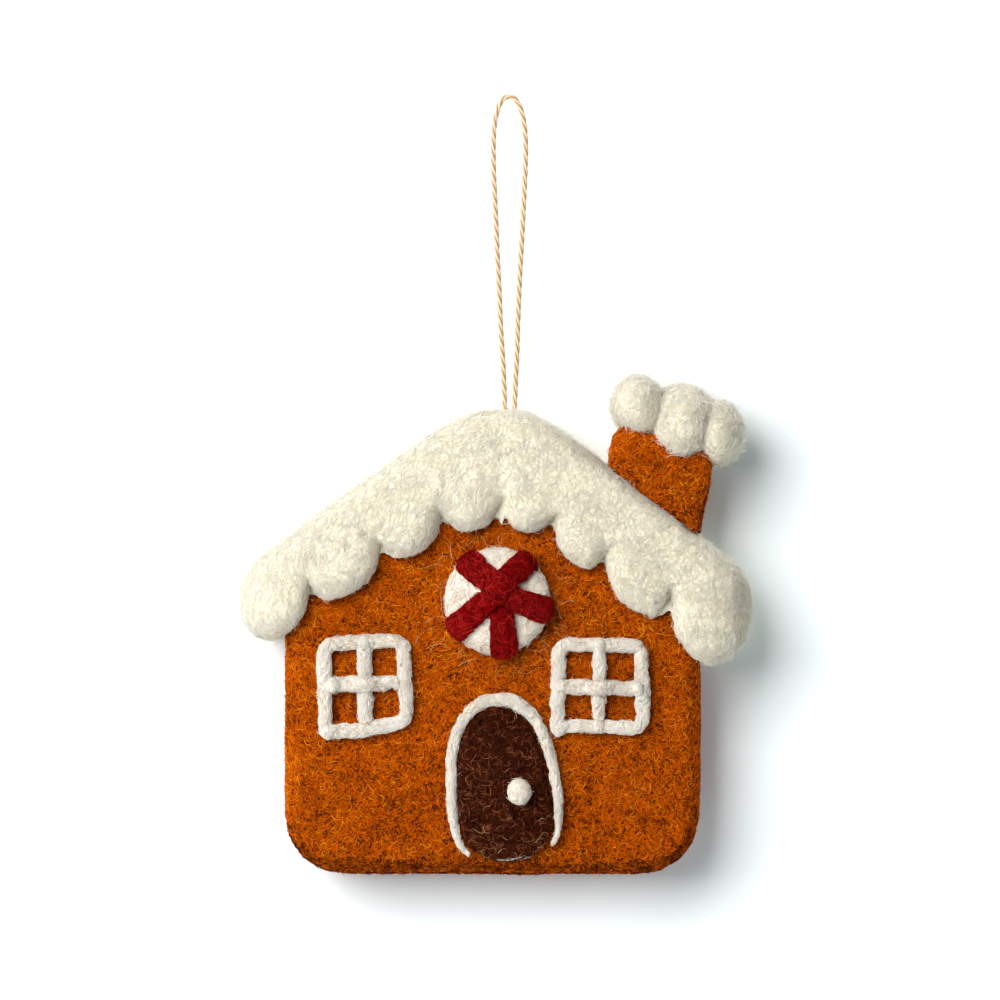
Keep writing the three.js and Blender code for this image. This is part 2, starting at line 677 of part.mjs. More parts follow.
function doorKnob() {
  const front = frontOf(doorPanel);
  const y = front(KNOB_X, KNOB_Z) + KNOB_SINK - KNOB_HALF_WIDTH;
  const halves = [KNOB_HALF_WIDTH, KNOB_HALF_WIDTH, KNOB_HALF_HEIGHT];
  const ball = ellipsoid([KNOB_X, y, KNOB_Z], halves, KNOB_FACETS);
  return ball.subtract(doorPanel.translate([0, -FELT_GAP, 0])).subtract(doorPanel);
}

// A window: one strand bent round four corners, an upright and a crossbar that end against it, and the
// crossbar climbing over the upright
function windowPieces({ frame, upright, crossbar }) {
  const rest = () => STRAND_SEAT * STRAND_HALF_HEIGHT + FELT_GAP;
  const lay = (path, step, rise, grow = 0) => {
    const size = () => [STRAND_HALF_WIDTH + grow, STRAND_HALF_HEIGHT + grow];
    return strand(path, step, size, rise, wallFront);
  };
  const lineOf = ([from, to]) => new THREE.LineCurve(new THREE.Vector2(...from), new THREE.Vector2(...to));
  const framePath = roundedPath(frame, WINDOW_CORNER_ROUND);
  const uprightLine = lineOf(upright);
  const crossLine = lineOf(crossbar);
  const frameClear = lay(framePath, LONG_STRAND_STEP, rest, FELT_GAP);
  const uprightClear = lay(uprightLine, SHORT_STRAND_STEP, rest, FELT_GAP);
  const over = (share) => {
    const fromUpright = (share - 0.5) * crossLine.getLength();
    return rest() + CROSSING_RISE * Math.exp(-Math.pow(fromUpright / CROSSING_REACH, 2));
  };
  const barsClear = wallClear.add(frameClear);
  return {
    frame: lay(framePath, LONG_STRAND_STEP, rest).subtract(wallClear),
    upright: lay(uprightLine, SHORT_STRAND_STEP, rest).subtract(barsClear),
    crossbar: lay(crossLine, SHORT_STRAND_STEP, over).subtract(barsClear).subtract(uprightClear),
  };
}

// Assembly

const house = new THREE.Group();

house.add(piece("snow_roof", snowBulk.subtract(wallClear).subtract(tunnel), SNOW));
const hollow = wallGrown(-COVER_THICKNESS, HOLLOW_POINTS);
house.add(piece("wall_cover", wallSolid.subtract(hollow).subtract(tunnel), GINGERBREAD));
const coreSolid = wallGrown(-COVER_THICKNESS - FELT_GAP, HOLLOW_POINTS);
house.add(piece("core_wool", coreSolid.subtract(tunnel).subtract(pocket), CORE));
house.add(piece("cord_knot", cordKnot(), CORD));

const onSnow = chimneySolid(0).subtract(snowClear).subtract(wallClear);
house.add(piece("chimney", onSnow, GINGERBREAD));
let takenUp = chimneySolid(FELT_GAP);
for (const [name, puff] of Object.entries(PUFFS)) {
  house.add(piece(name, puffSolid(puff, 0).subtract(takenUp), SNOW));
  takenUp = takenUp.add(puffSolid(puff, FELT_GAP));
}

house.add(piece("mint_disc", mintDisc, ICING));
for (const [name, stripe] of Object.entries(mintStripes())) house.add(piece(name, stripe, RED));

house.add(piece("door_panel", doorPanel, CHOCOLATE));
house.add(piece("door_trim", doorTrim(), ICING));
house.add(piece("door_knob", doorKnob(), ICING));

for (const [name, strands] of Object.entries(WINDOWS)) {
  const { frame, upright, crossbar } = windowPieces(strands);
  house.add(piece(`${name}_frame`, frame, ICING));
  house.add(piece(`${name}_upright`, upright, ICING));
  house.add(piece(`${name}_crossbar`, crossbar, ICING));
}

// The house hangs under the cord's feet, which fold about a line just above the tails.
house.position.x = footMiddle.x - cordX;
house.position.z = footMiddle.z - (snowTop + TAIL_RISE + FELT_GAP + cordRadius);

const loopCurve = new THREE.CatmullRomCurve3(route);
const cordSection = new THREE.Shape().absarc(0, 0, cordRadius, 0, 2 * Math.PI);
const loop = new THREE.ExtrudeGeometry(cordSection, { extrudePath: loopCurve, steps: 48, curveSegments: 4 });
const ornament = new THREE.Group();
ornament.add(piece("hanging_loop", solidOf(loop), CORD));
ornament.add(house);

export default ornament;
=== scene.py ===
# %% [markdown]
# # A needle-felted gingerbread house on a loop of cotton cord
#
# Needle felting pokes loose wool with a barbed needle until its fibres lock into a firm, slightly lumpy
# body with a soft coat of loose ends. This lesson dresses a measured model of such an ornament: the sizes
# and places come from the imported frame, and Blender gives each piece its lumps, its coat of fibres and
# its colour. Every length is in metres, with +Z up and the front of the house facing -Y.

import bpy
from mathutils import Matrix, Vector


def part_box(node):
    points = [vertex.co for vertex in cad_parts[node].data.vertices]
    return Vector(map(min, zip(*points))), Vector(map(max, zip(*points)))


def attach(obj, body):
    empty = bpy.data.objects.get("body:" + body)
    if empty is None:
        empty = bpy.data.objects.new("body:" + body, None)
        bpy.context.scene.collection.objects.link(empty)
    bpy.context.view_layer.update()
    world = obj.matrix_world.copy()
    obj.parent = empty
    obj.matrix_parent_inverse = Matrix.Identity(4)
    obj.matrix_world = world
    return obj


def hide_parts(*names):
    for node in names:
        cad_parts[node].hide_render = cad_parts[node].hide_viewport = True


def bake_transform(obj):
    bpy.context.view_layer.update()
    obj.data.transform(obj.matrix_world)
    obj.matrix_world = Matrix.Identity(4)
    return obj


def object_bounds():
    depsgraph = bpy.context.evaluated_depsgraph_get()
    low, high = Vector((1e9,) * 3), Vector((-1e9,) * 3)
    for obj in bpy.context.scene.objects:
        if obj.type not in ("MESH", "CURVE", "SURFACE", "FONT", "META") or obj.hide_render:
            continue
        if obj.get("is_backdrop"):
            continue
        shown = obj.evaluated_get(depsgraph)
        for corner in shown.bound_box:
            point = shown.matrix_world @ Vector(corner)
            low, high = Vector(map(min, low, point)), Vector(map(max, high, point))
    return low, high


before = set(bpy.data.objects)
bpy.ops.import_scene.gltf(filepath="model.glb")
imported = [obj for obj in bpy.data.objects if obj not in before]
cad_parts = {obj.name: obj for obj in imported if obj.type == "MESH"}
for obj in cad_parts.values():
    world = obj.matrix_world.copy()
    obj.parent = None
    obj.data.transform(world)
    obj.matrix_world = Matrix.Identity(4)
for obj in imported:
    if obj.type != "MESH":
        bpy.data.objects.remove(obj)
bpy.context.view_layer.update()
print("pieces in the frame:", len(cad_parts))

# %% Modules, units and new objects
import math

import bmesh
import bpy
import numpy as np
from mathutils import Matrix, Vector, geometry, noise
from mathutils.bvhtree import BVHTree

MM = 0.001
HOUSE, LOOP = "house", "cord_loop"


def added(name, data):
    made = bpy.data.objects.new(name, data)
    bpy.context.scene.collection.objects.link(made)
    return made



# %% [markdown]
# ## The camera
#
# The photograph looks straight at the front from far away, and is 200 mm wide where the ornament hangs. A
# long lens at the distance that gives this width shows the front and the outline behind it at nearly one
# scale, as the photograph does.

# %% Camera
PICTURE_WIDTH = 200 * MM
PICTURE_MIDDLE = Vector((-1.8 * MM, 0, -80.1 * MM))
LENS = 250

camera_data = bpy.data.cameras.new("camera")
camera_data.lens = LENS
camera = added("camera", camera_data)
bpy.context.scene.camera = camera
camera_distance = PICTURE_WIDTH * LENS / camera_data.sensor_width
camera.location = PICTURE_MIDDLE + Vector((0, -camera_distance, 0))
camera.rotation_euler = (math.radians(90), 0, 0)
camera_data.clip_start, camera_data.clip_end = 0.05, 20
print(f"camera {camera_distance:.2f} m in front")

# %% [markdown]
# ## Strands: from a line to a closed tube
#
# The cord's yarns and the wool's fibres are lines with a thickness. Blender's curve object turns a line into
# a tube, so each strand becomes one spline whose point radius is its real radius, round a section with a
# few sides. A radius of nothing at both ends closes the tube once the doubled points are welded.

# %% Strands as one mesh
TONE, BAKE_MAP = "tone", "OFBake"


def section(sides):
    """A closed outline with a radius of 1, to sweep along strands."""
    outline = bpy.data.curves.new("section", "CURVE")
    outline.dimensions, outline.fill_mode = "2D", "NONE"
    spline = outline.splines.new("POLY")
    spline.points.add(sides - 1)
    for i, point in enumerate(spline.points):
        turn = -2 * math.pi * i / sides
        point.co = (math.cos(turn), math.sin(turn), 0, 1)
    spline.use_cyclic_u = True
    return added("section", outline)


def evaluated_mesh(made):
    return bpy.data.meshes.new_from_object(made.evaluated_get(bpy.context.evaluated_depsgraph_get()))


def apply_modifiers(piece):
    piece.data = evaluated_mesh(piece)
    piece.modifiers.clear()
    piece.data.name = piece.name


def strands(name, lines, radii, sides=3, tones=None):
    """One mesh object of closed tubes along lines, an array of strand, point and x, y, z."""
    curve = bpy.data.curves.new(name, "CURVE")
    curve.dimensions, curve.bevel_mode = "3D", "OBJECT"
    curve.bevel_object = section(sides)
    count, points = lines.shape[:2]
    places = np.concatenate([lines, np.ones((count, points, 1))], axis=2).reshape(count, -1)
    for place, radius in zip(places, radii):
        spline = curve.splines.new("POLY")
        spline.points.add(points - 1)
        spline.points.foreach_set("co", place)
        spline.points.foreach_set("radius", radius)
    swept = added(name + "_lines", curve)
    mesh = evaluated_mesh(swept)
    bpy.data.objects.remove(curve.bevel_object)
    bpy.data.objects.remove(swept)
    if tones is not None:
        mark_tones(mesh, tones, points * sides, (points - 1) * sides * 4)
    piece = added(name, mesh)
    weld = piece.modifiers.new("weld", "WELD")
    weld.merge_threshold = 1e-7
    apply_modifiers(piece)
    return piece


def mark_tones(mesh, tones, points_each, corners_each):
    """Gives each strand its own tone, and its own small square of a map, so that a picture of the
    strands' colours keeps them apart."""
    tone = mesh.attributes.new(TONE, "FLOAT", "POINT")
    tone.data.foreach_set("value", np.repeat(tones, points_each).astype(np.float32))
    across = math.ceil(math.sqrt(len(tones)))
    cell = np.arange(len(tones))
    corner = np.stack([cell % across, cell // across], axis=1)
    layer = mesh.uv_layers[0]
    layer.name = BAKE_MAP
    uv = np.empty(len(mesh.loops) * 2, np.float32)
    layer.data.foreach_get("uv", uv)
    margin = 0.15
    uv = uv.reshape(len(tones), corners_each, 2) * (1 - 2 * margin) + margin
    uv = (uv + corner[:, None]) / across
    layer.data.foreach_set("uv", uv.astype(np.float32).ravel())


# %% [markdown]
# ## The hanging loop
#
# The loop is a three-ply twisted cotton cord, 1.15 mm thick. Its route is a list of points chosen from the
# photograph, from the left foot over the hook to the right one, and the cord lies on it at its real
# length. Three yarns that turn round that line give the slanting grooves.

# %% The cord's route
CORD_DIAMETER = 1.15 * MM
# Places as x and z in millimetres, and how far each end runs on into the snow
CORD_ROUTE = [
    (-0.86, -61.2), (-1.18, -53), (-1.64, -46.1), (-1.92, -39.2), (-2.32, -31.4), (-2.62, -24.2),
    (-2.94, -17.7), (-3.14, -11.4), (-3.06, -7), (-2.74, -4), (-2.34, -2.2), (-1.74, -0.72),
    (-0.94, 0.26), (0, 0.575), (0.96, 0.27), (1.78, -0.7), (2.4, -2.15), (2.86, -3.95),
    (3.2, -6.8), (3.32, -10.6), (3.16, -15.6), (2.92, -21), (2.62, -26.6), (2.34, -31.6),
    (2.04, -37.4), (1.78, -43.8), (1.58, -50.7), (1.3, -56.4), (1.12, -61.2),
]
CORD_BURIED = 1.8


def smooth_line(points, spacing):
    """Evenly spaced points on a smooth curve through the given ones (a Catmull-Rom curve)."""
    p = np.array([2 * points[0] - points[1], *points, 2 * points[-1] - points[-2]])
    t = np.linspace(0, 1, 24, endpoint=False)[:, None]
    fine = [
        b + t * (c - a) / 2 + t**2 * (a - 2.5 * b + 2 * c - d / 2) + t**3 * (1.5 * (b - c) + (d - a) / 2)
        for a, b, c, d in zip(p, p[1:], p[2:], p[3:])
    ]
    fine = np.concatenate([*fine, p[-2:-1]])
    along = np.concatenate([[0], np.cumsum(np.linalg.norm(np.diff(fine, axis=0), axis=1))])
    at = np.linspace(0, along[-1], round(along[-1] / spacing) + 1)
    return np.stack([np.interp(at, along, fine[:, k]) for k in range(3)], axis=1)


foot_left, foot_right = CORD_ROUTE[0], CORD_ROUTE[-1]
whole_route = [
    (foot_left[0], foot_left[1] - CORD_BURIED), *CORD_ROUTE, (foot_right[0], foot_right[1] - CORD_BURIED),
]
route = np.array([(x * MM, 0, z * MM) for x, z in whole_route])
cord_line = smooth_line(route, 0.25 * MM)

# %% Three yarns round the route
YARNS = 3
CORD_LAY = 6.6 * MM
YARN_RADIUS = 0.3 * MM


def unit(vectors):
    return vectors / np.maximum(np.linalg.norm(vectors, axis=-1, keepdims=True), 1e-12)


def yarn_line(line, start_turn):
    """A line that winds round another one, a yarn's radius inside the cord's surface."""
    ahead = unit(np.gradient(line, axis=0))
    back = np.array((0.0, 1.0, 0.0))
    side = np.cross(ahead, back)
    along = np.concatenate([[0], np.cumsum(np.linalg.norm(np.diff(line, axis=0), axis=1))])
    turn = (2 * math.pi * along / CORD_LAY + start_turn)[:, None]
    return line + (CORD_DIAMETER / 2 - YARN_RADIUS) * (np.cos(turn) * side + np.sin(turn) * back)


yarns = np.array([yarn_line(cord_line, 2 * math.pi * k / YARNS) for k in range(YARNS)])
yarn_radii = np.full(yarns.shape[:2], YARN_RADIUS)
yarn_radii[:, [0, -1]] = 0
cord = strands("twisted_cord", yarns, yarn_radii, sides=8)
cord_points = np.array([v.co for v in cord.data.vertices])
nearest = np.array([np.linalg.norm(cord_line - p, axis=1).min() for p in cord_points])
crest = cord.data.attributes.new("crest", "FLOAT", "POINT")
crest.data.foreach_set("value", (nearest / (CORD_DIAMETER / 2)).astype(np.float32))
cord.data.shade_smooth()
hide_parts("hanging_loop")
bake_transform(cord)

# %% [markdown]
# ## Writing materials as sums
#
# A material is a small calculation. Written with one node after another it is hard to read, so a thin class
# wraps a node's output and lets Python's own signs add the Math nodes. Colours and vectors keep to Mix and
# Vector Math nodes, because a Math node would turn a colour grey.

# %% A value on its way through a material
class Value:
    """An output of a node. Sums on it add Math nodes, and node() adds any other kind."""

    def __init__(self, tree, socket=None):
        self.tree, self.socket = tree, socket

    def node(self, kind, settings=None, inputs=None, output=0):
        made = self.tree.nodes.new(kind)
        for name, value in (settings or {}).items():
            if name == "stops":
                ramp = made.color_ramp
                ramp.elements.remove(ramp.elements[1])
                ramp.elements[0].position, ramp.elements[0].color = value[0][0], (*value[0][1], 1)
                for place, colour in value[1:]:
                    ramp.elements.new(place).color = (*colour, 1)
            else:
                setattr(made, name, value)
        for name, value in (inputs or {}).items():
            if isinstance(value, Value):
                self.tree.links.new(value.socket, made.inputs[name])
            else:
                made.inputs[name].default_value = value
        return Value(self.tree, made.outputs[output])

    def maths(self, operation, first, second=0.0, clamp=False):
        settings = {"operation": operation, "use_clamp": clamp}
        return self.node("ShaderNodeMath", settings, {0: first, 1: second})

    def __add__(self, other):
        return self.maths("ADD", self, other)

    def __sub__(self, other):
        return self.maths("SUBTRACT", self, other)

    def __rsub__(self, other):
        return self.maths("SUBTRACT", other, self)

    def __mul__(self, other):
        return self.maths("MULTIPLY", self, other)

    def __abs__(self):
        return self.maths("ABSOLUTE", self)

    def clamped(self):
        return self.maths("ADD", self, 0.0, clamp=True)

    def between(self, low, high):
        """0 below low, 1 above high and smooth between."""
        settings = {"interpolation_type": "SMOOTHSTEP"}
        return self.node("ShaderNodeMapRange", settings, {"Value": self, "From Min": low, "From Max": high})

    def mixed(self, first, second):
        """This value's share of the second colour in the first."""
        return self.node("ShaderNodeMix", {"data_type": "RGBA"}, {0: self, 6: first, 7: second}, output=2)

    def shown(self):
        """Makes this shader the material's surface."""
        out = self.tree.nodes.new("ShaderNodeOutputMaterial")
        self.tree.links.new(self.socket, out.inputs["Surface"])


# Wool and cotton scatter light between their fibres and hardly mirror it
FIBRE_SHINE = 0.06


def new_material(name):
    material = bpy.data.materials.new(name)
    material.use_nodes = True
    material.node_tree.nodes.clear()
    return material, Value(material.node_tree)


def finish_material(start, colour, roughness, sheen, tint, normal=None, glow=0.0, depth=0.0):
    """A Principled shader for fibres, as the material's surface."""
    inputs = {
        "Base Color": colour, "Roughness": roughness, "Specular IOR Level": FIBRE_SHINE,
        "Sheen Weight": sheen, "Sheen Roughness": 0.5, "Sheen Tint": (*tint, 1),
        "Subsurface Weight": glow, "Subsurface Radius": (1.0, 0.9, 0.7), "Subsurface Scale": depth,
    }
    if normal is not None:
        inputs["Normal"] = normal
    start.node("ShaderNodeBsdfPrincipled", None, inputs).shown()


def rgb(red, green, blue):
    """A colour as seen on a screen, from 0 to 255, in the linear numbers that a shader takes."""
    def linear(value):
        share = value / 255
        return share / 12.92 if share <= 0.04045 else ((share + 0.055) / 1.055) ** 2.4
    return linear(red), linear(green), linear(blue)


# %% [markdown]
# ## The wools
#
# Each wool has three tones: a deep one for painted shade down in the felt, the wool itself, and a light
# one for painted light caught by single fibres. One finish serves the felted body under the coat: short
# crossing lines stand for the packed fibres, the felt between them leans to the deep tone as painted shade,
# and small pits, the marks that the needle left, are darkened with painted shade. A second finish serves the
# loose fibres, each in the tone that it was given when it was made, from the deep tone to the light one.

# %% Felt and fibre finishes
# Each wool's deep tone is painted shade, its body its own colour, and its light tone painted light
TONES = {
    "gingerbread": [(78, 22, 0), (228, 104, 0), (252, 160, 28)],
    "snow": [(230, 214, 176), (253, 247, 228), (255, 252, 238)],
    "straw": [(214, 158, 92), (238, 198, 140), (252, 232, 196)],
    "icing": [(216, 186, 154), (255, 249, 236), (255, 254, 246)],
    "red": [(42, 0, 2), (142, 3, 6), (204, 46, 42)],
    "chocolate": [(12, 3, 0), (84, 33, 12), (172, 102, 68)],
    "core": [(150, 136, 110), (220, 212, 194), (240, 236, 224)],
}
WOOLS = {
    key: {part: rgb(*colour) for part, colour in zip(("deep", "body", "light"), tones)}
    for key, tones in TONES.items()
}
# Straw is snow wool with some of the gingerbread's colour
# Pale wool lets light through from fibre to fibre, which fills its pits
GLOW = {"snow": 0.5, "icing": 0.3}
GLOW_DEPTH, FIBRE_GLOW_DEPTH = 1 * MM, 0.3 * MM
# How strongly a wool's packed fibres and needle marks show, in bump and in painted shade, where not in full
GRAIN_AND_SHADE = {"snow": 0.4, "icing": 0.45, "core": 0.5}
MOTTLE_SIZE, LINE_SIZE, PIT_SIZE = 8 * MM, 0.7 * MM, 0.6 * MM
# The deep tone's share in the felt, as painted shade between the fibres, how much less of it pale patches
# have, the strength of the lines, and the strength of the painted shade in the pits
DEEP_SHADE_SHARE, MOTTLE_SHARE, LINE_SHOW, PIT_SHADE = 0.75, 0.25, 0.6, 0.9
# Unrelated places in the noise
LINES_AT, MORE_LINES_AT, PITS_AT = 0.013, 0.029, 0.041
LINE_SHARPNESS, BUMP_DEPTH = 14, 0.2 * MM


def felt(name, wool, glow, grain):
    material, start = new_material(name)
    deep, body = (*wool["deep"], 1), (*wool["body"], 1)
    place = start.node("ShaderNodeTexCoord", output="Object")

    def cloud(size, detail=2.0, distortion=0.0, shift=0.0):
        by = {0: place, 1: (shift, shift, shift)}
        moved = start.node("ShaderNodeVectorMath", {"operation": "ADD"}, by)
        inputs = {"Vector": moved, "Scale": 1 / size, "Detail": detail, "Distortion": distortion}
        return start.node("ShaderNodeTexNoise", None, inputs)

    def threads(shift):
        """Thin curly lines, where a bent cloud passes through its middle value."""
        return (1 - abs(cloud(LINE_SIZE, 1.0, 1.2, shift) - 0.5) * LINE_SHARPNESS).clamped()

    patches = cloud(MOTTLE_SIZE).between(0.25, 0.75)
    # The felt between the lines leans to the deep tone, as painted shade between the fibres, less so in pale
    # patches
    base = (patches * (MOTTLE_SHARE * grain) + (1 - DEEP_SHADE_SHARE * grain)).mixed(deep, body)
    lines = start.maths("MAXIMUM", threads(LINES_AT), threads(MORE_LINES_AT))
    lined = (lines * LINE_SHOW).mixed(base, body)
    # The needle's pits are darkened towards the deep tone: painted shade in the holes
    pits = cloud(PIT_SIZE, 1.0, 0.4, PITS_AT).between(0.53, 0.63)
    pit_shaded = (pits * (PIT_SHADE * grain)).mixed(lined, deep)
    relief = {"Strength": 0.1 + 0.6 * grain, "Distance": BUMP_DEPTH, "Height": lines * LINE_SHOW - pits}
    bump = start.node("ShaderNodeBump", None, relief)
    finish_material(
        start, pit_shaded, 0.95, sheen=0.05, tint=wool["light"], normal=bump, glow=glow, depth=GLOW_DEPTH
    )
    return material


def fibre(name, wool, glow):
    material, start = new_material(name)
    tone = start.node("ShaderNodeAttribute", {"attribute_name": TONE}, output="Fac")
    stops = [(0.0, wool["deep"]), (0.35, wool["body"]), (0.75, wool["body"]), (1.0, wool["light"])]
    colour = start.node("ShaderNodeValToRGB", {"stops": stops}, {"Fac": tone})
    finish_material(start, colour, 0.85, sheen=0.04, tint=wool["light"], glow=glow, depth=FIBRE_GLOW_DEPTH)
    return material


felt_finish = {
    key: felt(f"{key}_felt", wool, GLOW.get(key, 0.0), GRAIN_AND_SHADE.get(key, 1.0))
    for key, wool in WOOLS.items() if key != "straw"
}
fibre_finish = {key: fibre(f"{key}_fibres", wool, GLOW.get(key, 0.0)) for key, wool in WOOLS.items()}

# %% [markdown]
# The crests of the yarns are cream, and the grooves between them are ochre, as painted shade. Each point of
# the mesh kept its distance from the cord's middle line, so the painted shade follows the twist exactly.

# %% Cotton
CREAM, OCHRE_SHADE = rgb(240, 220, 188), rgb(186, 122, 60)
# How often the fine lines repeat round and along a yarn
YARN_LINES = (400, 9, 1)


def cotton():
    material, start = new_material("twisted_cotton")
    height = start.node("ShaderNodeAttribute", {"attribute_name": "crest"}, output="Fac")
    place = start.node("ShaderNodeUVMap", {"uv_map": "UVMap"})
    drawn = start.node("ShaderNodeMapping", None, {"Vector": place, "Scale": YARN_LINES})
    grain = start.node("ShaderNodeTexNoise", None, {"Vector": drawn, "Scale": 1.0, "Detail": 2.0})
    # Near the cord's middle, down in the grooves, the colour turns to the ochre painted shade
    crest = (height.between(0.55, 0.98) * 0.9 + grain * 0.2 - 0.1).clamped()
    colour = crest.mixed((*OCHRE_SHADE, 1), (*CREAM, 1))
    bump = start.node("ShaderNodeBump", None, {"Strength": 0.4, "Distance": 0.05 * MM, "Height": grain})
    finish_material(start, colour, 0.85, sheen=0.05, tint=CREAM, normal=bump)
    return material


cotton_finish = cotton()
cord.data.materials.append(cotton_finish)

# %% [markdown]
# ## Felting a body
#
# A felted piece starts as a copy of the frame's own solid, so it lies where its neighbours expect it. It is
# merged, given an even skin of small squares by a voxel remesh, and smoothed, because wool has no sharp
# edges. Then slow lumps and small dents move the skin in and out.

# %% Felted bodies
# How far one pass of smoothing goes
SETTLE = 0.5
LUMP_SIZE, DENT_SIZE, HOLE_SIZE = 7 * MM, 1.6 * MM, 0.9 * MM
# Holes are the peaks of this noise above a floor, read away from the dents' own place in it
HOLE_FLOOR, HOLES_AT = 0.25, Vector((7, 7, 7))


def solid_copy(*nodes, hull=True):
    """The frame's solids in one bmesh, with their loose triangles merged. A hull drops hidden hollows."""
    bm = bmesh.new()
    for node in nodes:
        bm.from_mesh(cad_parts[node].data)
    bmesh.ops.remove_doubles(bm, verts=bm.verts, dist=1e-6)
    if hull:
        made = bmesh.ops.convex_hull(bm, input=bm.verts)
        bmesh.ops.delete(bm, geom=made["geom_interior"], context="VERTS")
        spare = [f for f in made["geom_unused"] if isinstance(f, bmesh.types.BMFace)]
        bmesh.ops.delete(bm, geom=spare, context="FACES")
        bmesh.ops.recalc_face_normals(bm, faces=bm.faces)
    return bm


def even_skin(name, bm, voxel):
    """A new object with the bmesh's shape in small, even squares."""
    mesh = bpy.data.meshes.new(name)
    bm.to_mesh(mesh)
    bm.free()
    piece = added(name, mesh)
    remesh = piece.modifiers.new("remesh", "REMESH")
    remesh.mode, remesh.voxel_size = "VOXEL", voxel
    apply_modifiers(piece)
    return piece


def settle(skin, passes):
    for _ in range(passes):
        bmesh.ops.smooth_vert(
            skin, verts=skin.verts, factor=SETTLE, use_axis_x=True, use_axis_y=True, use_axis_z=True
        )
    skin.normal_update()


def felted(name, bm, wool, voxel, lump=0.3 * MM, dent=0.08 * MM, passes=3, shape=None, grow=0.0, holes=0.0):
    """A felted body from a closed bmesh, with the named wool's finish. Lump, dent and holes say how far slow
    waves, quick waves and needle holes move its skin, and grow how far all of it moves out."""
    piece = even_skin(name, bm, voxel)
    skin = bmesh.new()
    skin.from_mesh(piece.data)
    settle(skin, passes)
    if shape:
        shape(skin)
        skin.normal_update()
    for vert in skin.verts:
        slow = noise.noise(vert.co / LUMP_SIZE)
        quick = noise.noise(vert.co / DENT_SIZE)
        pit = max(0.0, noise.noise(vert.co / HOLE_SIZE + HOLES_AT) - HOLE_FLOOR)
        vert.co += vert.normal * (grow + lump * slow + dent * quick - holes * pit)
    skin.to_mesh(piece.data)
    skin.free()
    piece.data.shade_smooth()
    piece.data.materials.append(felt_finish[wool])
    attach(piece, HOUSE)
    print(f"{name}: {len(piece.data.polygons)} faces")
    return piece


# %% [markdown]
# ## Wall
#
# The wall is a firm, flat cushion of felt. Its solid is a shell round the core wool, so the hull of that
# shell gives its skin without the hollow. Round its front, below the snow, the felt slants back to an edge
# that looks darker than the face.

# %% Wall
# How far both faces fall away towards the outline
WALL_FALL = 0.9 * MM
# The face keeps its plane up to this far from the outline, and slants back by this much from there
EDGE_WIDTH, EDGE_DROP = 3.2 * MM, 3.8 * MM
# The slant stays below this height and in front of this depth
EDGE_TOP, EDGE_BACK = -100 * MM, -3 * MM
# Where the slant takes over from the solid's own round edge, the face's place there and the slant's ease
EDGE_START, EDGE_FULL, FACE_Y, EDGE_EASE = 8 * MM, 5 * MM, -8.2 * MM, 1.3


def outline_of(node):
    """The convex outline of a solid as seen from the front, as pairs of corners."""
    flat = [Vector((v.co.x, v.co.z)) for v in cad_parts[node].data.vertices]
    corners = [flat[i] for i in geometry.convex_hull_2d(flat)]
    return list(zip(corners, corners[1:] + corners[:1]))


def inside_by(outline, place):
    """How far a place lies inside a convex outline."""
    sides = ((place - a).cross((b - a).normalized()) for a, b in outline if (b - a).length > 1e-7)
    return min(abs(side) for side in sides)


def fall_to_edge(skin):
    """Lets both faces fall away from the middle to the outline, as stuffed shapes do, and slants the front's
    lower and side edges."""
    low, high = map(Vector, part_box("wall_cover"))
    middle, half = (low + high) / 2, (high - low) / 2
    outline = outline_of("wall_cover")
    for vert in skin.verts:
        out = ((vert.co.x - middle.x) / half.x) ** 2 + ((vert.co.z - middle.z) / half.z) ** 2
        fall = WALL_FALL * min(1.0, out)
        if vert.co.y < EDGE_BACK and vert.co.z < EDGE_TOP and vert.normal.y < 0.1:
            inside = inside_by(outline, Vector((vert.co.x, vert.co.z)))
            blend = min(1.0, max(0.0, (EDGE_START - inside) / (EDGE_START - EDGE_FULL)))
            edge_y = FACE_Y + EDGE_DROP * max(0.0, 1 - inside / EDGE_WIDTH) ** EDGE_EASE
            vert.co.y += (edge_y - vert.co.y) * blend
        vert.co.y -= math.copysign(fall * abs(vert.normal.y), vert.co.y)
    settle(skin, 2)


wall = felted(
    "wall", solid_copy("wall_cover"), "gingerbread", 0.8 * MM, shape=fall_to_edge, grow=-0.5 * MM,
)
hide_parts("wall_cover")

# %% [markdown]
# ## Snow
#
# The snow is one thick quilt over both slopes. Its front edge was pushed into round lobes, and at each gap
# between two the needle left a crease that runs up into the snow. The creases are pressed in after
# smoothing, deepest at the edge and gone at their far ends. One small drip hangs in the middle gap.

# %% Snow
# Each crease's start at the edge and its end in the snow, as x and z in millimetres
CREASES = [
    [(-39.0, -99.9), (-41.2, -94.2)],
    [(-25.3, -90.9), (-29.4, -86.4)],
    [(-12.9, -85.9), (-15.8, -80.8)],
    [(-1.7, -83.9), (-0.9, -78.9)],
    [(8.2, -87.1), (10.6, -81.9)],
    [(18.4, -94.3), (21.0, -88.6)],
    [(31.6, -103.2), (33.0, -96.4)],
]
CREASE_DEPTH, CREASE_WIDTH, CREASE_END_WIDTH = 3.0 * MM, 1.7 * MM, 1.0 * MM
# The needle's way, from the front and up under the snow, and the depth over which its press fades
PRESS, PRESS_REACH = Vector((0, 0.8, 0.6)), 6 * MM
# How far a lobe swells, and how far its middle lies above the line between its gaps
LOBE_SWELL, LOBE_RISE = 1.2 * MM, 1.1 * MM
# The drip's place, and its width, depth and height as shares of a small ball
DRIP, DRIP_BALL, DRIP_SHAPE = Vector((-1.5, -10.2, -84.2)) * MM, 1.0 * MM, (0.7, 0.8, 1.4, 1)


def flat_place(x, z):
    return Vector((x * MM, z * MM))


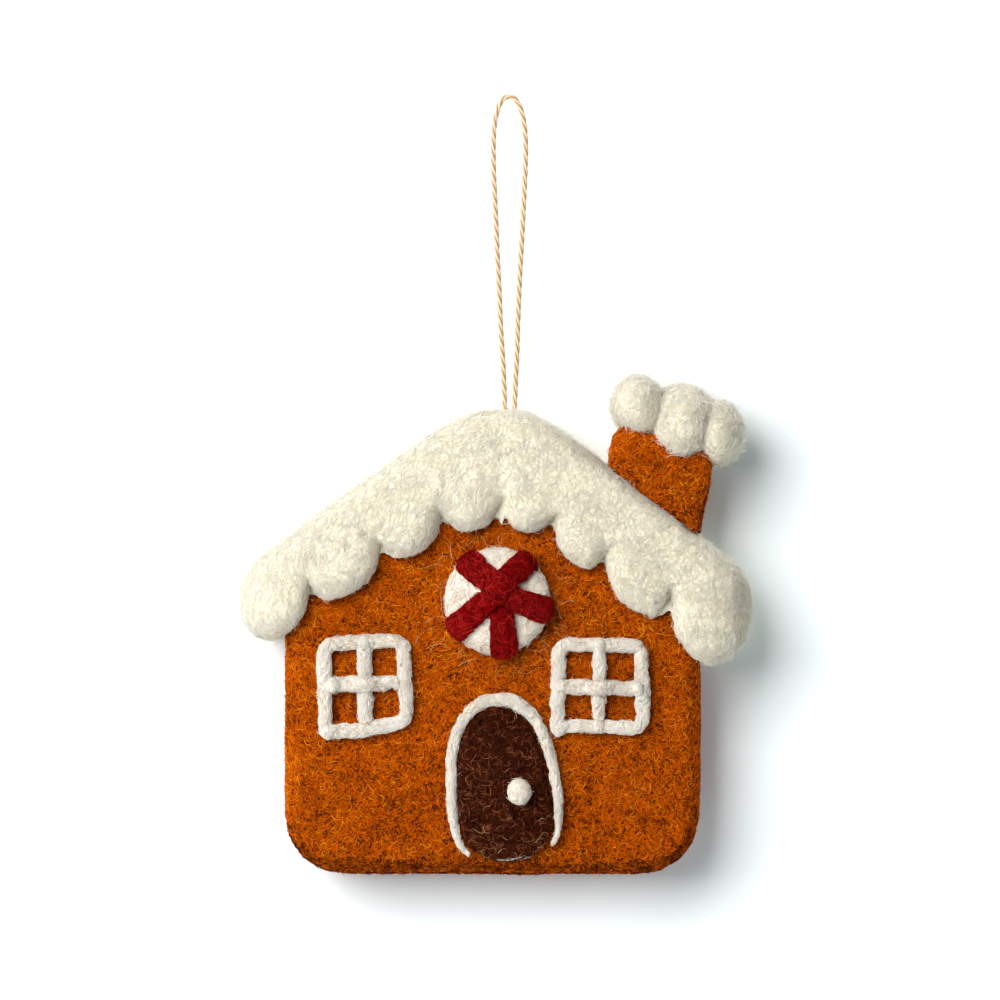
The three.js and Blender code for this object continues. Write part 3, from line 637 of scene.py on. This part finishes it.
def press_creases(skin):
    """Swells each lobe and presses a crease into each gap. Both fade as a bell curve does, to nothing at 2
    reaches or 3 widths."""
    front = [vert for vert in skin.verts if vert.co.y < 0 and vert.normal.y < 0.3]
    for (left, _), (right, _) in zip(CREASES, CREASES[1:]):
        a, b = flat_place(*left), flat_place(*right)
        middle, reach = (a + b) / 2 + Vector((0, LOBE_RISE)), (b - a).length / 2
        for vert in front:
            away = (Vector((vert.co.x, vert.co.z)) - middle).length / reach
            if away < 2:
                vert.co += vert.normal * (LOBE_SWELL * math.exp(-2.5 * away * away))
    for start, end in CREASES:
        a, b = flat_place(*start), flat_place(*end)
        long = (b - a).length
        for vert in front:
            here = Vector((vert.co.x, vert.co.z)) - a
            share = min(1.0, max(0.0, here.dot(b - a) / long**2))
            width = CREASE_WIDTH + (CREASE_END_WIDTH - CREASE_WIDTH) * share
            away = (here - (b - a) * share).length / width
            if away < 3:
                ahead = min(1.0, -vert.co.y / PRESS_REACH)
                vert.co += PRESS * (CREASE_DEPTH * ahead * math.exp(-away * away) * (1 - share) ** 0.8)
    settle(skin, 1)


snow_solid = solid_copy("snow_roof", hull=False)
bmesh.ops.create_uvsphere(
    snow_solid, u_segments=12, v_segments=8, radius=DRIP_BALL,
    matrix=Matrix.Translation(DRIP) @ Matrix.Diagonal(DRIP_SHAPE),
)
snow = felted(
    "snow", snow_solid, "snow", 0.6 * MM, lump=0.45 * MM, passes=4, shape=press_creases, grow=0.1 * MM,
)
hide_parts("snow_roof")

# %% [markdown]
# ## Chimney and its puffs
#
# The chimney is a firm block and the puffs are three loosely felted balls that press against each other.

# %% Chimney and puffs
chimney = felted("chimney_block", solid_copy("chimney"), "gingerbread", 0.6 * MM, lump=0.35 * MM)
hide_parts("chimney")

# Each puff's spread across and up, about its top
PUFFS = {
    "chimney_puff_left": (0.96, 0.92), "chimney_puff_middle": (1.08, 1.0), "chimney_puff_right": (1.0, 0.97),
}
puffs = []
for node, (across, up) in PUFFS.items():
    bm = solid_copy(node)
    low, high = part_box(node)
    top = Vector(((low[0] + high[0]) / 2, 0, high[2]))
    bmesh.ops.scale(bm, vec=(across, 1, up), space=Matrix.Translation(-top), verts=bm.verts)
    name = node.replace("chimney_", "snowy_")
    puff = felted(name, bm, "snow", 0.5 * MM, lump=0.8 * MM, passes=5, grow=0.6 * MM)
    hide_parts(node)
    puffs.append(puff)

# %% [markdown]
# ## Peppermint sweet
#
# A white disc with a soft rim carries three red stripes, laid over it in turn and tucked down its edge. Each
# is a lock of red wool that spreads and flattens towards its ends, and keeps the needle's holes.

# %% Peppermint sweet
mint = felted("mint_sweet", solid_copy("mint_disc"), "icing", 0.45 * MM, lump=0.2 * MM)
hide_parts("mint_disc")
MINT_MIDDLE = Vector((-2.4, 0, -100.1)) * MM
# How much wider and flatter a stripe gets, between these distances from the sweet's middle
FLARE, STRIPE_SINK, FLARE_START, FLARE_END = 0.55 * MM, 0.5 * MM, 4 * MM, 11 * MM
# Where the sweet's rim is, and what is left of a stripe's reach past it
RIM, RIM_SQUEEZE = 10.3 * MM, 0.55


def flare(skin):
    """Widens and flattens a stripe towards its ends, and presses the ends against the sweet's rim."""
    for vert in skin.verts:
        away = (vert.co - MINT_MIDDLE) * Vector((1, 0, 1))
        out = away.length
        share = min(1.0, max(0.0, (out - FLARE_START) / (FLARE_END - FLARE_START)))
        vert.co += vert.normal * Vector((1, 0, 1)) * (FLARE * share)
        if vert.normal.y < 0:
            vert.co.y -= vert.normal.y * STRIPE_SINK * share
        if out > RIM:
            vert.co -= away * ((out - RIM) * (1 - RIM_SQUEEZE) / out)


stripes = []
for order in ("under", "over", "short"):
    node = f"mint_stripe_{order}"
    stripe = felted(
        f"red_stripe_{order}", solid_copy(node, hull=False), "red", 0.3 * MM, lump=0.2 * MM,
        dent=0.15 * MM, passes=2, shape=flare, holes=1.2 * MM,
    )
    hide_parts(node)
    stripes.append(stripe)

# %% [markdown]
# ## Door
#
# A brown patch, a white line of wool round it and a ball of white wool for a knob. The line, like the
# windows' bars, is rolled between finger and thumb and poked down, which leaves small holes.

# %% Door
door = felted("door", solid_copy("door_panel"), "chocolate", 0.45 * MM, lump=0.2 * MM)
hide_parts("door_panel")
ROLLED = {
    "voxel": 0.22 * MM, "lump": 0.2 * MM, "dent": 0.2 * MM, "passes": 2, "grow": 0.05 * MM, "holes": 1.2 * MM,
}
trim = felted("door_line", solid_copy("door_trim", hull=False), "icing", **ROLLED)
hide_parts("door_trim")
knob = felted("knob", solid_copy("door_knob"), "icing", 0.3 * MM, lump=0.15 * MM)
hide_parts("door_knob")

# %% [markdown]
# ## Windows
#
# Each window is drawn with thin rolls of white wool: a frame bent round four corners, an upright and a
# crossbar. Where a roll starts or ends the maker poked it down into a small knob of wool.

# %% Windows
# Small knobs of wool on the rolls, as x, y, z and radius in millimetres
KNOBS = {
    "window_left_crossbar": [(-35.2, -9.7, -116.9, 1.4)],
    "window_left_upright": [(-28.8, -9.6, -108.6, 1.3)],
    "window_left_frame": [(-35.9, -9.4, -126.2, 1.45), (-34.9, -9.4, -126.1, 1.3)],
    "window_right_upright": [(18.0, -9.6, -108.9, 1.4), (17.7, -9.5, -125.0, 1.5)],
    "window_right_frame": [(9.7, -9.5, -125.5, 1.5), (11.0, -9.4, -125.1, 1.25)],
    "window_right_crossbar": [(10.2, -9.7, -117.1, 1.5), (25.5, -9.6, -117.6, 1.35)],
}
windows = []
for side in ("left", "right"):
    for part in ("frame", "upright", "crossbar"):
        node = f"window_{side}_{part}"
        bm = solid_copy(node, hull=False)
        for x, y, z, radius in KNOBS.get(node, []):
            place = Matrix.Translation(Vector((x, y, z)) * MM)
            bmesh.ops.create_uvsphere(bm, u_segments=10, v_segments=8, radius=radius * MM, matrix=place)
        roll = felted(f"icing_{side}_{part}", bm, "icing", **ROLLED)
        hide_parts(node)
        windows.append(roll)

# %% [markdown]
# ## Loose fibres
#
# What makes wool look like wool is its coat: thousands of thin curled fibres that lie on the body, dive into
# it and stand off its edges. Each starts at a random spot of the skin, walks a few steps along it while it
# turns, and is lifted a little off the skin on the way. A flow can steer them: wool that is rolled into a
# line runs along that line.

# %% A skin to lay fibres on
CLOSE = 3 * MM


class Skin:
    """The triangles of some pieces, with a tree that finds the nearest place on them."""

    def __init__(self, *pieces):
        bm = bmesh.new()
        for piece in pieces:
            bm.from_mesh(piece.data)
        bmesh.ops.triangulate(bm, faces=bm.faces)
        self.tree = BVHTree.FromBMesh(bm)
        self.corners = np.array([[v.co for v in f.verts] for f in bm.faces])
        self.normals = np.array([f.normal for f in bm.faces])
        bm.free()
        a, b, c = self.corners.transpose(1, 0, 2)
        self.middles = (a + b + c) / 3
        self.areas = np.linalg.norm(np.cross(b - a, c - a), axis=1) / 2

    def bare_of(self, *others):
        """Leaves out the triangles that other pieces cover closely, where no fibre would be seen."""
        cover = Skin(*others).tree
        for i, (place, normal) in enumerate(zip(self.middles, self.normals)):
            if cover.ray_cast(Vector(place + normal * CLOSE * 0.01), Vector(normal), CLOSE)[0]:
                self.areas[i] = 0
        return self

    def scatter(self, density, weight, draw):
        """Random places on the skin with their normals, so many to a square millimetre."""
        chance = self.areas * weight(self.middles, self.normals)
        count = round(density * chance.sum() / MM**2)
        pick = draw.choice(len(chance), count, p=chance / chance.sum())
        u, v = draw.random((2, count, 1))
        u, v = np.where(u + v > 1, 1 - u, u), np.where(u + v > 1, 1 - v, v)
        a, b, c = self.corners[pick].transpose(1, 0, 2)
        return a + u * (b - a) + v * (c - a), self.normals[pick]

    def nearest(self, places):
        found = [self.tree.find_nearest(p) for p in places.tolist()]
        return np.array([f[0] for f in found]), np.array([f[1] for f in found])


# %% Laying fibres
def everywhere(places, normals):
    return np.ones(len(places))


def facing_front(places, normals):
    """Full density on what faces the camera, and little on what faces away."""
    return np.clip(0.55 - normals[:, 1], 0.12, 1.0)


def any_way(places, normals):
    return np.zeros_like(places)


def along_lines(*lines):
    """Steers along the nearest stretch of some lines of x and z, in millimetres from the origin."""
    placed = [[Vector((x, 0, z)) * MM for x, z in line] for line in lines]
    pairs = [pair for line in placed for pair in zip(line, line[1:])]
    starts = np.array([a for a, _ in pairs])
    spans = np.array([b - a for a, b in pairs])

    def flow(places, normals):
        flat = places * (1, 0, 1)
        here = flat[:, None] - starts
        share = np.clip((here * spans).sum(2) / (spans**2).sum(1), 0, 1)
        away = np.linalg.norm(here - share[..., None] * spans, axis=2)
        return unit(spans)[away.argmin(1)]

    return flow


BLOTCH_SIZE = 5 * MM
# A fibre that hardly moves at one of its steps is caught in a fold, and is left out
SHORTEST_STEP = 0.1 * MM
# What fibres' heights and thicknesses are drawn from, as shares of the full ones
HEIGHTS, THICKNESSES = (0.3, 1.0), (0.6, 1.3)
# How deep a lying fibre's ends are in the skin, and how high a standing one's foot is, in millimetres
ROOT_DEPTH, FOOT_HEIGHT = 0.05, 0.02


def lay_fibres(
    name, skin, wool, density, length, seed, weight=everywhere, flow=any_way, loose=1.2, ground=None,
    points=6, radius=0.075, lift=0.35, free=0.12, reach=0.9, curl=0.8, tone=(0.0, 1.0), blotch=0.15,
    shade=0.0,
):
    """A coat of fibres on a skin, each of which walks over that skin or over another ground. Lengths are
    ranges in millimetres, loose is how far a fibre strays from the flow in radians, free is the share with
    one end off the skin, reach how far that end stands, blotch how much the tone drifts, and shade how far
    the tone falls on what faces down, as painted shade."""
    draw = np.random.default_rng(seed)
    ground = ground or skin
    start, normal = skin.scatter(density, weight, draw)
    faces_down = np.clip(-2 * normal[:, 2], 0, 1)
    count = len(start)
    across = unit(np.cross(normal, unit(draw.normal(size=(count, 3)))))
    steer = flow(start, normal)
    steer = steer - normal * (steer * normal).sum(1, keepdims=True)
    steered = np.linalg.norm(steer, axis=1, keepdims=True) > 0.1
    angle = draw.normal(0, loose, (count, 1))
    turned = unit(steer) * np.cos(angle) + np.cross(normal, unit(steer)) * np.sin(angle)
    heading = unit(np.where(steered, turned, across))
    step = (draw.uniform(*length, (count, 1)) * MM) / (points - 1)
    bend = curl * draw.uniform(0.25, 1.0, (count, 1)) * draw.choice((-1, 1), (count, 1))
    places, ups = [start], [normal]
    for _ in range(points - 1):
        found, normal = ground.nearest(places[-1] + heading * step)
        places.append(found)
        ups.append(normal)
        turn = bend + draw.normal(0, curl / 3, (count, 1))
        heading = heading * np.cos(turn) + np.cross(normal, heading) * np.sin(turn)
        heading = unit(heading - normal * (heading * normal).sum(1, keepdims=True))
    walked = np.linalg.norm(np.diff(np.stack(places, axis=1), axis=1), axis=2).min(1) > SHORTEST_STEP
    places, ups = [p[walked] for p in places], [u[walked] for u in ups]
    start, faces_down, count = start[walked], faces_down[walked], int(walked.sum())
    share = np.linspace(0, 1, points)[None]
    arch = np.sin(math.pi * share) * draw.uniform(*HEIGHTS, (count, 1)) * lift - ROOT_DEPTH
    stands = share**1.6 * draw.uniform(*HEIGHTS, (count, 1)) ** 2 * reach + FOOT_HEIGHT
    height = np.where(draw.random((count, 1)) < free, stands, arch) * MM
    lines = np.stack(places, axis=1) + np.stack(ups, axis=1) * height[..., None]
    radii = np.ones((count, points)) * draw.uniform(*THICKNESSES, (count, 1)) * radius * MM
    radii[:, [0, -1]] = 0
    drift = np.array([noise.noise(Vector(p) / BLOTCH_SIZE) for p in start])
    # Tones drift at random over the house, and fall on what faces down as painted shade
    tones = np.clip(draw.uniform(*tone, count) + blotch * drift - shade * faces_down, 0, 1)
    coat = strands(name, lines, radii, tones=tones)
    coat.data.materials.append(fibre_finish[wool])
    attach(coat, HOUSE)
    triangles = sum(len(p.vertices) - 2 for p in coat.data.polygons)
    print(f"{name}: {count} fibres, {triangles} triangles")


# %% [markdown]
# The wall's fibres swirl: neighbours lie roughly the same way, and that way drifts over a centimetre. The
# front and the sides get the densest coat, in three strips to keep each piece light, and the back a thinner
# one.

# %% Gingerbread fibres
SWIRL_SIZE = 11 * MM
# Where the front's coats end and the back's start
FRONT_END = 4 * MM
# How much sparser the fibres lie on what faces down
UNDERSIDE_SPARSE = 0.3


def swirl(places, normals):
    turn = np.array([noise.noise(Vector(p) / SWIRL_SIZE) for p in places]) * 2 * math.pi
    return np.stack([np.cos(turn), np.sin(turn) * 0.3, np.sin(turn)], axis=1)


def strip(low, high, front=True, thinned=0.0):
    """What lies between two places across the house, in millimetres, in its front part or behind. It is
    thinned by a share where it faces down."""
    def weight(places, normals):
        inside = (places[:, 0] >= low * MM) & (places[:, 0] < high * MM)
        share = 1 - thinned * np.clip(-2 * normals[:, 2], 0, 1)
        return (inside & ((places[:, 1] < FRONT_END) == front)) * share

    return weight


wall_skin = Skin(wall).bare_of(snow, mint, door, chimney)
chimney_skin = Skin(chimney).bare_of(snow, wall, *puffs)
# The front coat's fibres get painted shade where they face down
FRONT_COAT = {
    "density": 4.3, "length": (1.4, 3.4), "flow": swirl, "radius": 0.065, "lift": 0.45, "reach": 0.7,
    "points": 5, "curl": 1.0, "shade": 0.6,
}
STRIPS = {"left": (-90, -19), "middle": (-19, 13), "right": (13, 90)}
for seed, (side, (low, high)) in enumerate(STRIPS.items(), 11):
    lay_fibres(f"wall_fibres_{side}", wall_skin, "gingerbread", seed=seed,
               weight=strip(low, high, thinned=UNDERSIDE_SPARSE), **FRONT_COAT)
lay_fibres("wall_fibres_behind", wall_skin, "gingerbread", 1.3, (2.4, 5.0), 14,
           weight=strip(-90, 90, False), flow=swirl, radius=0.085)
lay_fibres("chimney_fibres", chimney_skin, "gingerbread", seed=15, **FRONT_COAT)

# %% [markdown]
# The snow's fibres run down its slopes and round its lobes, longer and softer than the wall's.

# %% Snow fibres
RIDGE_X = -0.9 * MM
SLOPE = math.radians(35)


def down_slope(places, normals):
    side = np.sign(places[:, 0] - RIDGE_X)
    down = np.full(len(places), -math.sin(SLOPE))
    return np.stack([side * math.cos(SLOPE), np.zeros(len(places)), down], axis=1)


snow_skin = Skin(snow).bare_of(wall, chimney)
SNOW_COAT = {
    "radius": 0.042, "lift": 0.35, "free": 0.25, "reach": 1.0, "flow": down_slope, "loose": 1.1, "curl": 0.6,
    "blotch": 0.1, "points": 5, "tone": (0.12, 1.0),
}
lay_fibres("snow_fibres_left", snow_skin, "snow", 4.1, (1.8, 4.4), 21, weight=strip(-90, -2), **SNOW_COAT)
lay_fibres("snow_fibres_right", snow_skin, "snow", 4.1, (1.8, 4.4), 22, weight=strip(-2, 90), **SNOW_COAT)
lay_fibres("snow_fibres_behind", snow_skin, "snow", 1.3, (2.4, 5.0), 23,
           weight=strip(-90, 90, False), **SNOW_COAT)
puff_skin = Skin(*puffs).bare_of(chimney)
lay_fibres("puff_fibres", puff_skin, "snow", 4.7, (1.8, 4.2), 24, radius=0.042, lift=0.7, free=0.5,
           reach=1.8, blotch=0.1, points=5, tone=(0.3, 1.0))

# %% [markdown]
# The sweet's, the door's and the windows' fibres are shorter. Those of the thin rolls run along them, and
# lie down on the wall where they walk off, which frays the rolls' edges.

# %% Fibres of the sweet, the door and the windows
# The red stripes and the windows' rolls, as x and z in millimetres
STRIPE_LINES = [
    [(-9.1, -91.6), (-2.7, -97.2), (-0.5, -99.1), (8.1, -102.5)],
    [(4.3, -91.6), (-1.1, -96.4), (-3.6, -99.1), (-11.2, -106.3)],
    [(-1.4, -101.0), (-1.3, -104.3), (-0.8, -110.8)],
]
WINDOW_LINES = {
    "left": [
        [(-36.5, -126.7), (-36.9, -108.6), (-21.1, -108.0), (-20.3, -124.0), (-28.9, -125.8),
         (-34.8, -126.0)],
        [(-28.5, -125.8), (-28.8, -108.3)],
        [(-36.7, -116.8), (-20.7, -116.3)],
    ],
    "right": [
        [(9.6, -126.1), (9.8, -108.8), (26.2, -109.0), (26.6, -125.4), (11.3, -124.9)],
        [(17.7, -125.2), (18.0, -108.8)],
        [(9.7, -117.1), (26.4, -117.6)],
    ],
}
DOOR_MIDDLE = Vector((-0.67, 0, -138.0)) * MM


def round_door(places, normals):
    out = (places - np.array(DOOR_MIDDLE)) * (1, 0, 0.6)
    return unit(np.stack([out[:, 2], np.zeros(len(out)), -out[:, 0]], axis=1))


trim_skin, trim_ground = Skin(trim).bare_of(wall), Skin(trim, wall, door)
# "upright" holds "right", so the left upright gets the right window's coat on top of its own
rolls_by_side = {side: [w for w in windows if side in w.name] for side in WINDOW_LINES}
roll_skins = {side: Skin(*rolls).bare_of(wall) for side, rolls in rolls_by_side.items()}
roll_grounds = {side: Skin(wall, *rolls) for side, rolls in rolls_by_side.items()}
FINE = {"weight": facing_front, "radius": 0.06, "lift": 0.22, "blotch": 0.2}
lay_fibres("mint_fibres", Skin(mint).bare_of(wall, *stripes), "icing", 4.0, (1.6, 3.6), 31, free=0.06, **FINE)
lay_fibres("stripe_fibres", Skin(*stripes).bare_of(wall, mint), "red", 6.5, (2.0, 4.6), 32,
           flow=along_lines(*STRIPE_LINES), ground=Skin(*stripes, wall), loose=0.5, free=0.06, curl=0.5,
           reach=0.7, tone=(0.3, 1.0), **(FINE | {"lift": 0.35}))
lay_fibres("door_fibres", Skin(door).bare_of(wall, trim), "chocolate", 6.0, (1.4, 3.2), 33, points=5,
           weight=facing_front, lift=0.6, radius=0.06)
ROLL_COAT = {
    "weight": facing_front, "loose": 0.4, "curl": 0.4, "free": 0.08, "reach": 0.6, "lift": 0.35,
    "radius": 0.055, "blotch": 0.3, "tone": (0.1, 1.0),
}
lay_fibres("door_line_fibres", trim_skin, "icing", 6.0, (2.0, 4.4), 34, flow=round_door,
           ground=trim_ground, **ROLL_COAT)
lay_fibres("knob_fibres", Skin(knob), "icing", 6.0, (1.2, 2.6), 35, radius=0.05, lift=0.2, tone=(0.0, 0.6))
for seed, (side, lines) in enumerate(WINDOW_LINES.items(), 36):
    lay_fibres(f"window_{side}_fibres", roll_skins[side], "icing", 6.0, (2.0, 4.4), seed,
               flow=along_lines(*lines), ground=roll_grounds[side], **ROLL_COAT)

# %% [markdown]
# Thin hairs stand off the outline, where they show against the light, and short ones hang under the lobes.

# %% Hairs at the outline
def on_outline(places, normals):
    return np.abs(normals[:, 1]) < 0.4


def under_lobes(places, normals):
    return (normals[:, 2] < -0.15) * (places[:, 1] < -4 * MM)


STRAY = {"weight": on_outline, "radius": 0.034, "free": 1.0, "points": 7, "tone": (0.4, 1.0)}
lay_fibres("wall_hairs", wall_skin, "gingerbread", 0.4, (1.4, 4.5), 41, reach=1.1, **STRAY)
lay_fibres("chimney_hairs", chimney_skin, "gingerbread", 0.45, (1.4, 4.5), 42, reach=1.1, **STRAY)
lay_fibres("snow_hairs", snow_skin, "snow", 0.55, (2.0, 5.0), 43, reach=1.5, **STRAY)
lay_fibres("puff_hairs", puff_skin, "snow", 0.6, (2.0, 5.0), 47, reach=2.2, **STRAY)
lay_fibres("lobe_hairs", snow_skin, "snow", 1.6, (1.6, 4.0), 56, weight=under_lobes, ground=Skin(snow, wall),
           radius=0.034, lift=0.5, free=0.5, reach=0.9, curl=1.0, tone=(0.3, 1.0))

# %% [markdown]
# Pale wool has strayed over the door, mostly low down, and straight white fibres lie across its foot.

# %% Pale hairs on the door
SILL_TOP, SILL_MIDDLE, SILL_HALF_WIDTH = -151.3 * MM, -0.5 * MM, 3.2 * MM
# The hairs get denser from this height down, over this distance
STRAY_TOP, STRAY_FADE = -140 * MM, 12 * MM


def low_on_door(places, normals):
    return np.clip((STRAY_TOP - places[:, 2]) / STRAY_FADE, 0.03, 1) * (normals[:, 1] < -0.3)


def at_sill(places, normals):
    aside = np.abs(places[:, 0] - SILL_MIDDLE)
    return (places[:, 2] < SILL_TOP) * (normals[:, 1] < -0.1) * (aside < SILL_HALF_WIDTH)


def across_the_sill(places, normals):
    return np.tile((1.0, 0.0, 0.0), (len(places), 1))


PALE = {"radius": 0.035, "lift": 0.6, "free": 0.3, "reach": 0.8, "curl": 1.0, "tone": (0.0, 0.8)}
lay_fibres("door_pale_hairs", Skin(door), "straw", 0.25, (2.0, 4.5), 44, weight=low_on_door, **PALE)
lay_fibres("sill_hairs", Skin(door), "icing", 2.0, (3.0, 6.0), 48, weight=at_sill, flow=across_the_sill,
           loose=0.15, curl=0.1, radius=0.05, lift=0.5, free=0.0)

# %% [markdown]
# The rolls, the sweet and its stripes are frayed: hairs start at their edges and reach over the wall. Long
# pale ones ring the sweet, and wool of the wall's colour clings to the foot of the cord.

# %% Frayed edges
RING_RADIUS, RING_HALF_WIDTH, FOOT_RADIUS = 10.5 * MM, 2.5 * MM, 2.2 * MM


def on_edges(places, normals):
    return np.abs(normals[:, 1]) < 0.6


def round_mint(places, normals):
    out = np.hypot(places[:, 0] - MINT_MIDDLE.x, places[:, 2] - MINT_MIDDLE.z)
    return (np.abs(out - RING_RADIUS) < RING_HALF_WIDTH) * (normals[:, 1] < -0.2)


def at_cord_foot(places, normals):
    return (np.hypot(places[:, 0] - foot_left[0] * MM, places[:, 1]) < FOOT_RADIUS) * (normals[:, 2] > 0.3)


FRAYED = PALE | {"weight": on_edges, "radius": 0.034, "free": 0.5, "tone": (0.2, 1.0)}
for seed, side in enumerate(WINDOW_LINES, 51):
    lay_fibres(f"window_{side}_hairs", roll_skins[side], "icing", 2.2, (1.4, 3.4), seed,
               ground=roll_grounds[side], **FRAYED)
lay_fibres("door_line_hairs", trim_skin, "icing", 1.8, (1.4, 3.4), 53, ground=trim_ground, **FRAYED)
lay_fibres("mint_hairs", Skin(mint).bare_of(*stripes), "icing", 1.5, (1.4, 3.4), 54,
           ground=Skin(mint, wall), **FRAYED)
lay_fibres("stripe_hairs", Skin(*stripes), "red", 0.7, (2.0, 5.0), 55,
           ground=Skin(mint, wall, *stripes), **(FRAYED | {"tone": (0.5, 1.0)}))
lay_fibres("mint_pale_hairs", Skin(wall, mint), "straw", 0.22, (4.0, 9.0), 45,
           **(FRAYED | {"weight": round_mint, "radius": 0.03, "curl": 0.6, "lift": 0.9}))
lay_fibres("cord_foot_hairs", snow_skin, "gingerbread", 0.8, (2.5, 5.0), 49,
           **(FRAYED | {"weight": at_cord_foot}))

# %% [markdown]
# ## Hidden pieces
#
# The core wool and the knot stay as the frame has them, because the snow and the wall close over them.

# %% Hidden pieces
for node, finish in {"core_wool": felt_finish["core"], "cord_knot": cotton_finish}.items():
    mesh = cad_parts[node].data
    mesh.materials.clear()
    mesh.materials.append(finish)

# %% [markdown]
# ## Backdrop, floor and light
#
# The photograph shows the ornament against white, and a soft light from the upper left puts its shadow to
# the right and below. A white sweep stands just behind the house and curves forward into the floor below
# the picture. It is seen from the front only and casts no shadow, so it hides nothing from the other sides.

# %% Sweep
BACKDROP_Y = 12 * MM
SWEEP_WIDTH, SWEEP_TOP, FLOOR_Z, FLOOR_FRONT, COVE = 2.0, 0.8, -0.6, -0.6, 0.1


def sweep():
    bm = bmesh.new()
    corner = bm.verts.new((-SWEEP_WIDTH / 2, BACKDROP_Y, FLOOR_Z + COVE))
    turned = bmesh.ops.spin(
        bm, geom=[corner], cent=(0, BACKDROP_Y - COVE, FLOOR_Z + COVE), axis=(1, 0, 0),
        angle=-math.pi / 2, steps=10,
    )
    floor_edge = turned["geom_last"][0]
    top = bm.verts.new((-SWEEP_WIDTH / 2, BACKDROP_Y, SWEEP_TOP))
    front = bm.verts.new((-SWEEP_WIDTH / 2, FLOOR_FRONT, FLOOR_Z))
    bm.edges.new((top, corner))
    bm.edges.new((floor_edge, front))
    across = bmesh.ops.extrude_edge_only(bm, edges=bm.edges)
    moved = [v for v in across["geom"] if isinstance(v, bmesh.types.BMVert)]
    bmesh.ops.translate(bm, verts=moved, vec=(SWEEP_WIDTH, 0, 0))
    bmesh.ops.recalc_face_normals(bm, faces=bm.faces)
    tall = max(bm.faces, key=lambda f: f.calc_center_median().z)
    if tall.normal.y > 0:
        bmesh.ops.reverse_faces(bm, faces=bm.faces)
    mesh = bpy.data.meshes.new("sweep")
    bm.to_mesh(mesh)
    bm.free()
    mesh.shade_smooth()
    return added("sweep", mesh)


# The paper glows a little, which keeps the corners white. Its glow and its own colour are a little cool, a
# painted tint that takes back the orange light that the wall throws into the shadows
PAPER_LIGHT, PAPER_TINT = 0.06, (0.2, 0.8, 1, 1)
paper, start = new_material("white_paper")
white = start.node("ShaderNodeBsdfPrincipled", None, {
    "Base Color": (0.98, 1, 1, 1), "Roughness": 1.0, "Specular IOR Level": 0.0,
    "Emission Color": PAPER_TINT, "Emission Strength": PAPER_LIGHT,
})
clear = start.node("ShaderNodeBsdfTransparent")
behind = start.node("ShaderNodeNewGeometry", output="Backfacing")
start.node("ShaderNodeMixShader", None, {0: behind, 1: white, 2: clear}).shown()
backdrop = sweep()
backdrop.data.materials.append(paper)
backdrop.visible_shadow = False
backdrop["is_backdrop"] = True

# %% Lights
WORLD_STRENGTH = 0.08
world = bpy.data.worlds.new("studio")
world.use_nodes = True
sky = world.node_tree.nodes["Background"].inputs
sky["Color"].default_value, sky["Strength"].default_value = (1, 1, 1, 1), WORLD_STRENGTH
bpy.context.scene.world = world
bpy.context.scene.view_settings.view_transform = "Standard"


def soft_light(name, direction, distance, size, power):
    """A square light that faces the middle of the picture from a direction."""
    data = bpy.data.lights.new(name, "AREA")
    data.shape, data.size, data.energy = "SQUARE", size, power
    made = added(name, data)
    way = Vector(direction).normalized()
    made.location = PICTURE_MIDDLE + way * distance
    made.rotation_euler = way.to_track_quat("Z", "Y").to_euler()


soft_light("key", (-0.6, -1.0, 0.42), distance=1.1, size=0.85, power=17.6)
soft_light("from_behind", (0.5, 1.0, 0.6), distance=1.3, size=0.6, power=7)

# %% [markdown]
# ## Finish
#
# The last cell prints the size of the dressed model's box.

# %% Finish
low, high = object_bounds()
print("dressed", [round(1000 * (b - a), 1) for a, b in zip(low, high)], "mm")
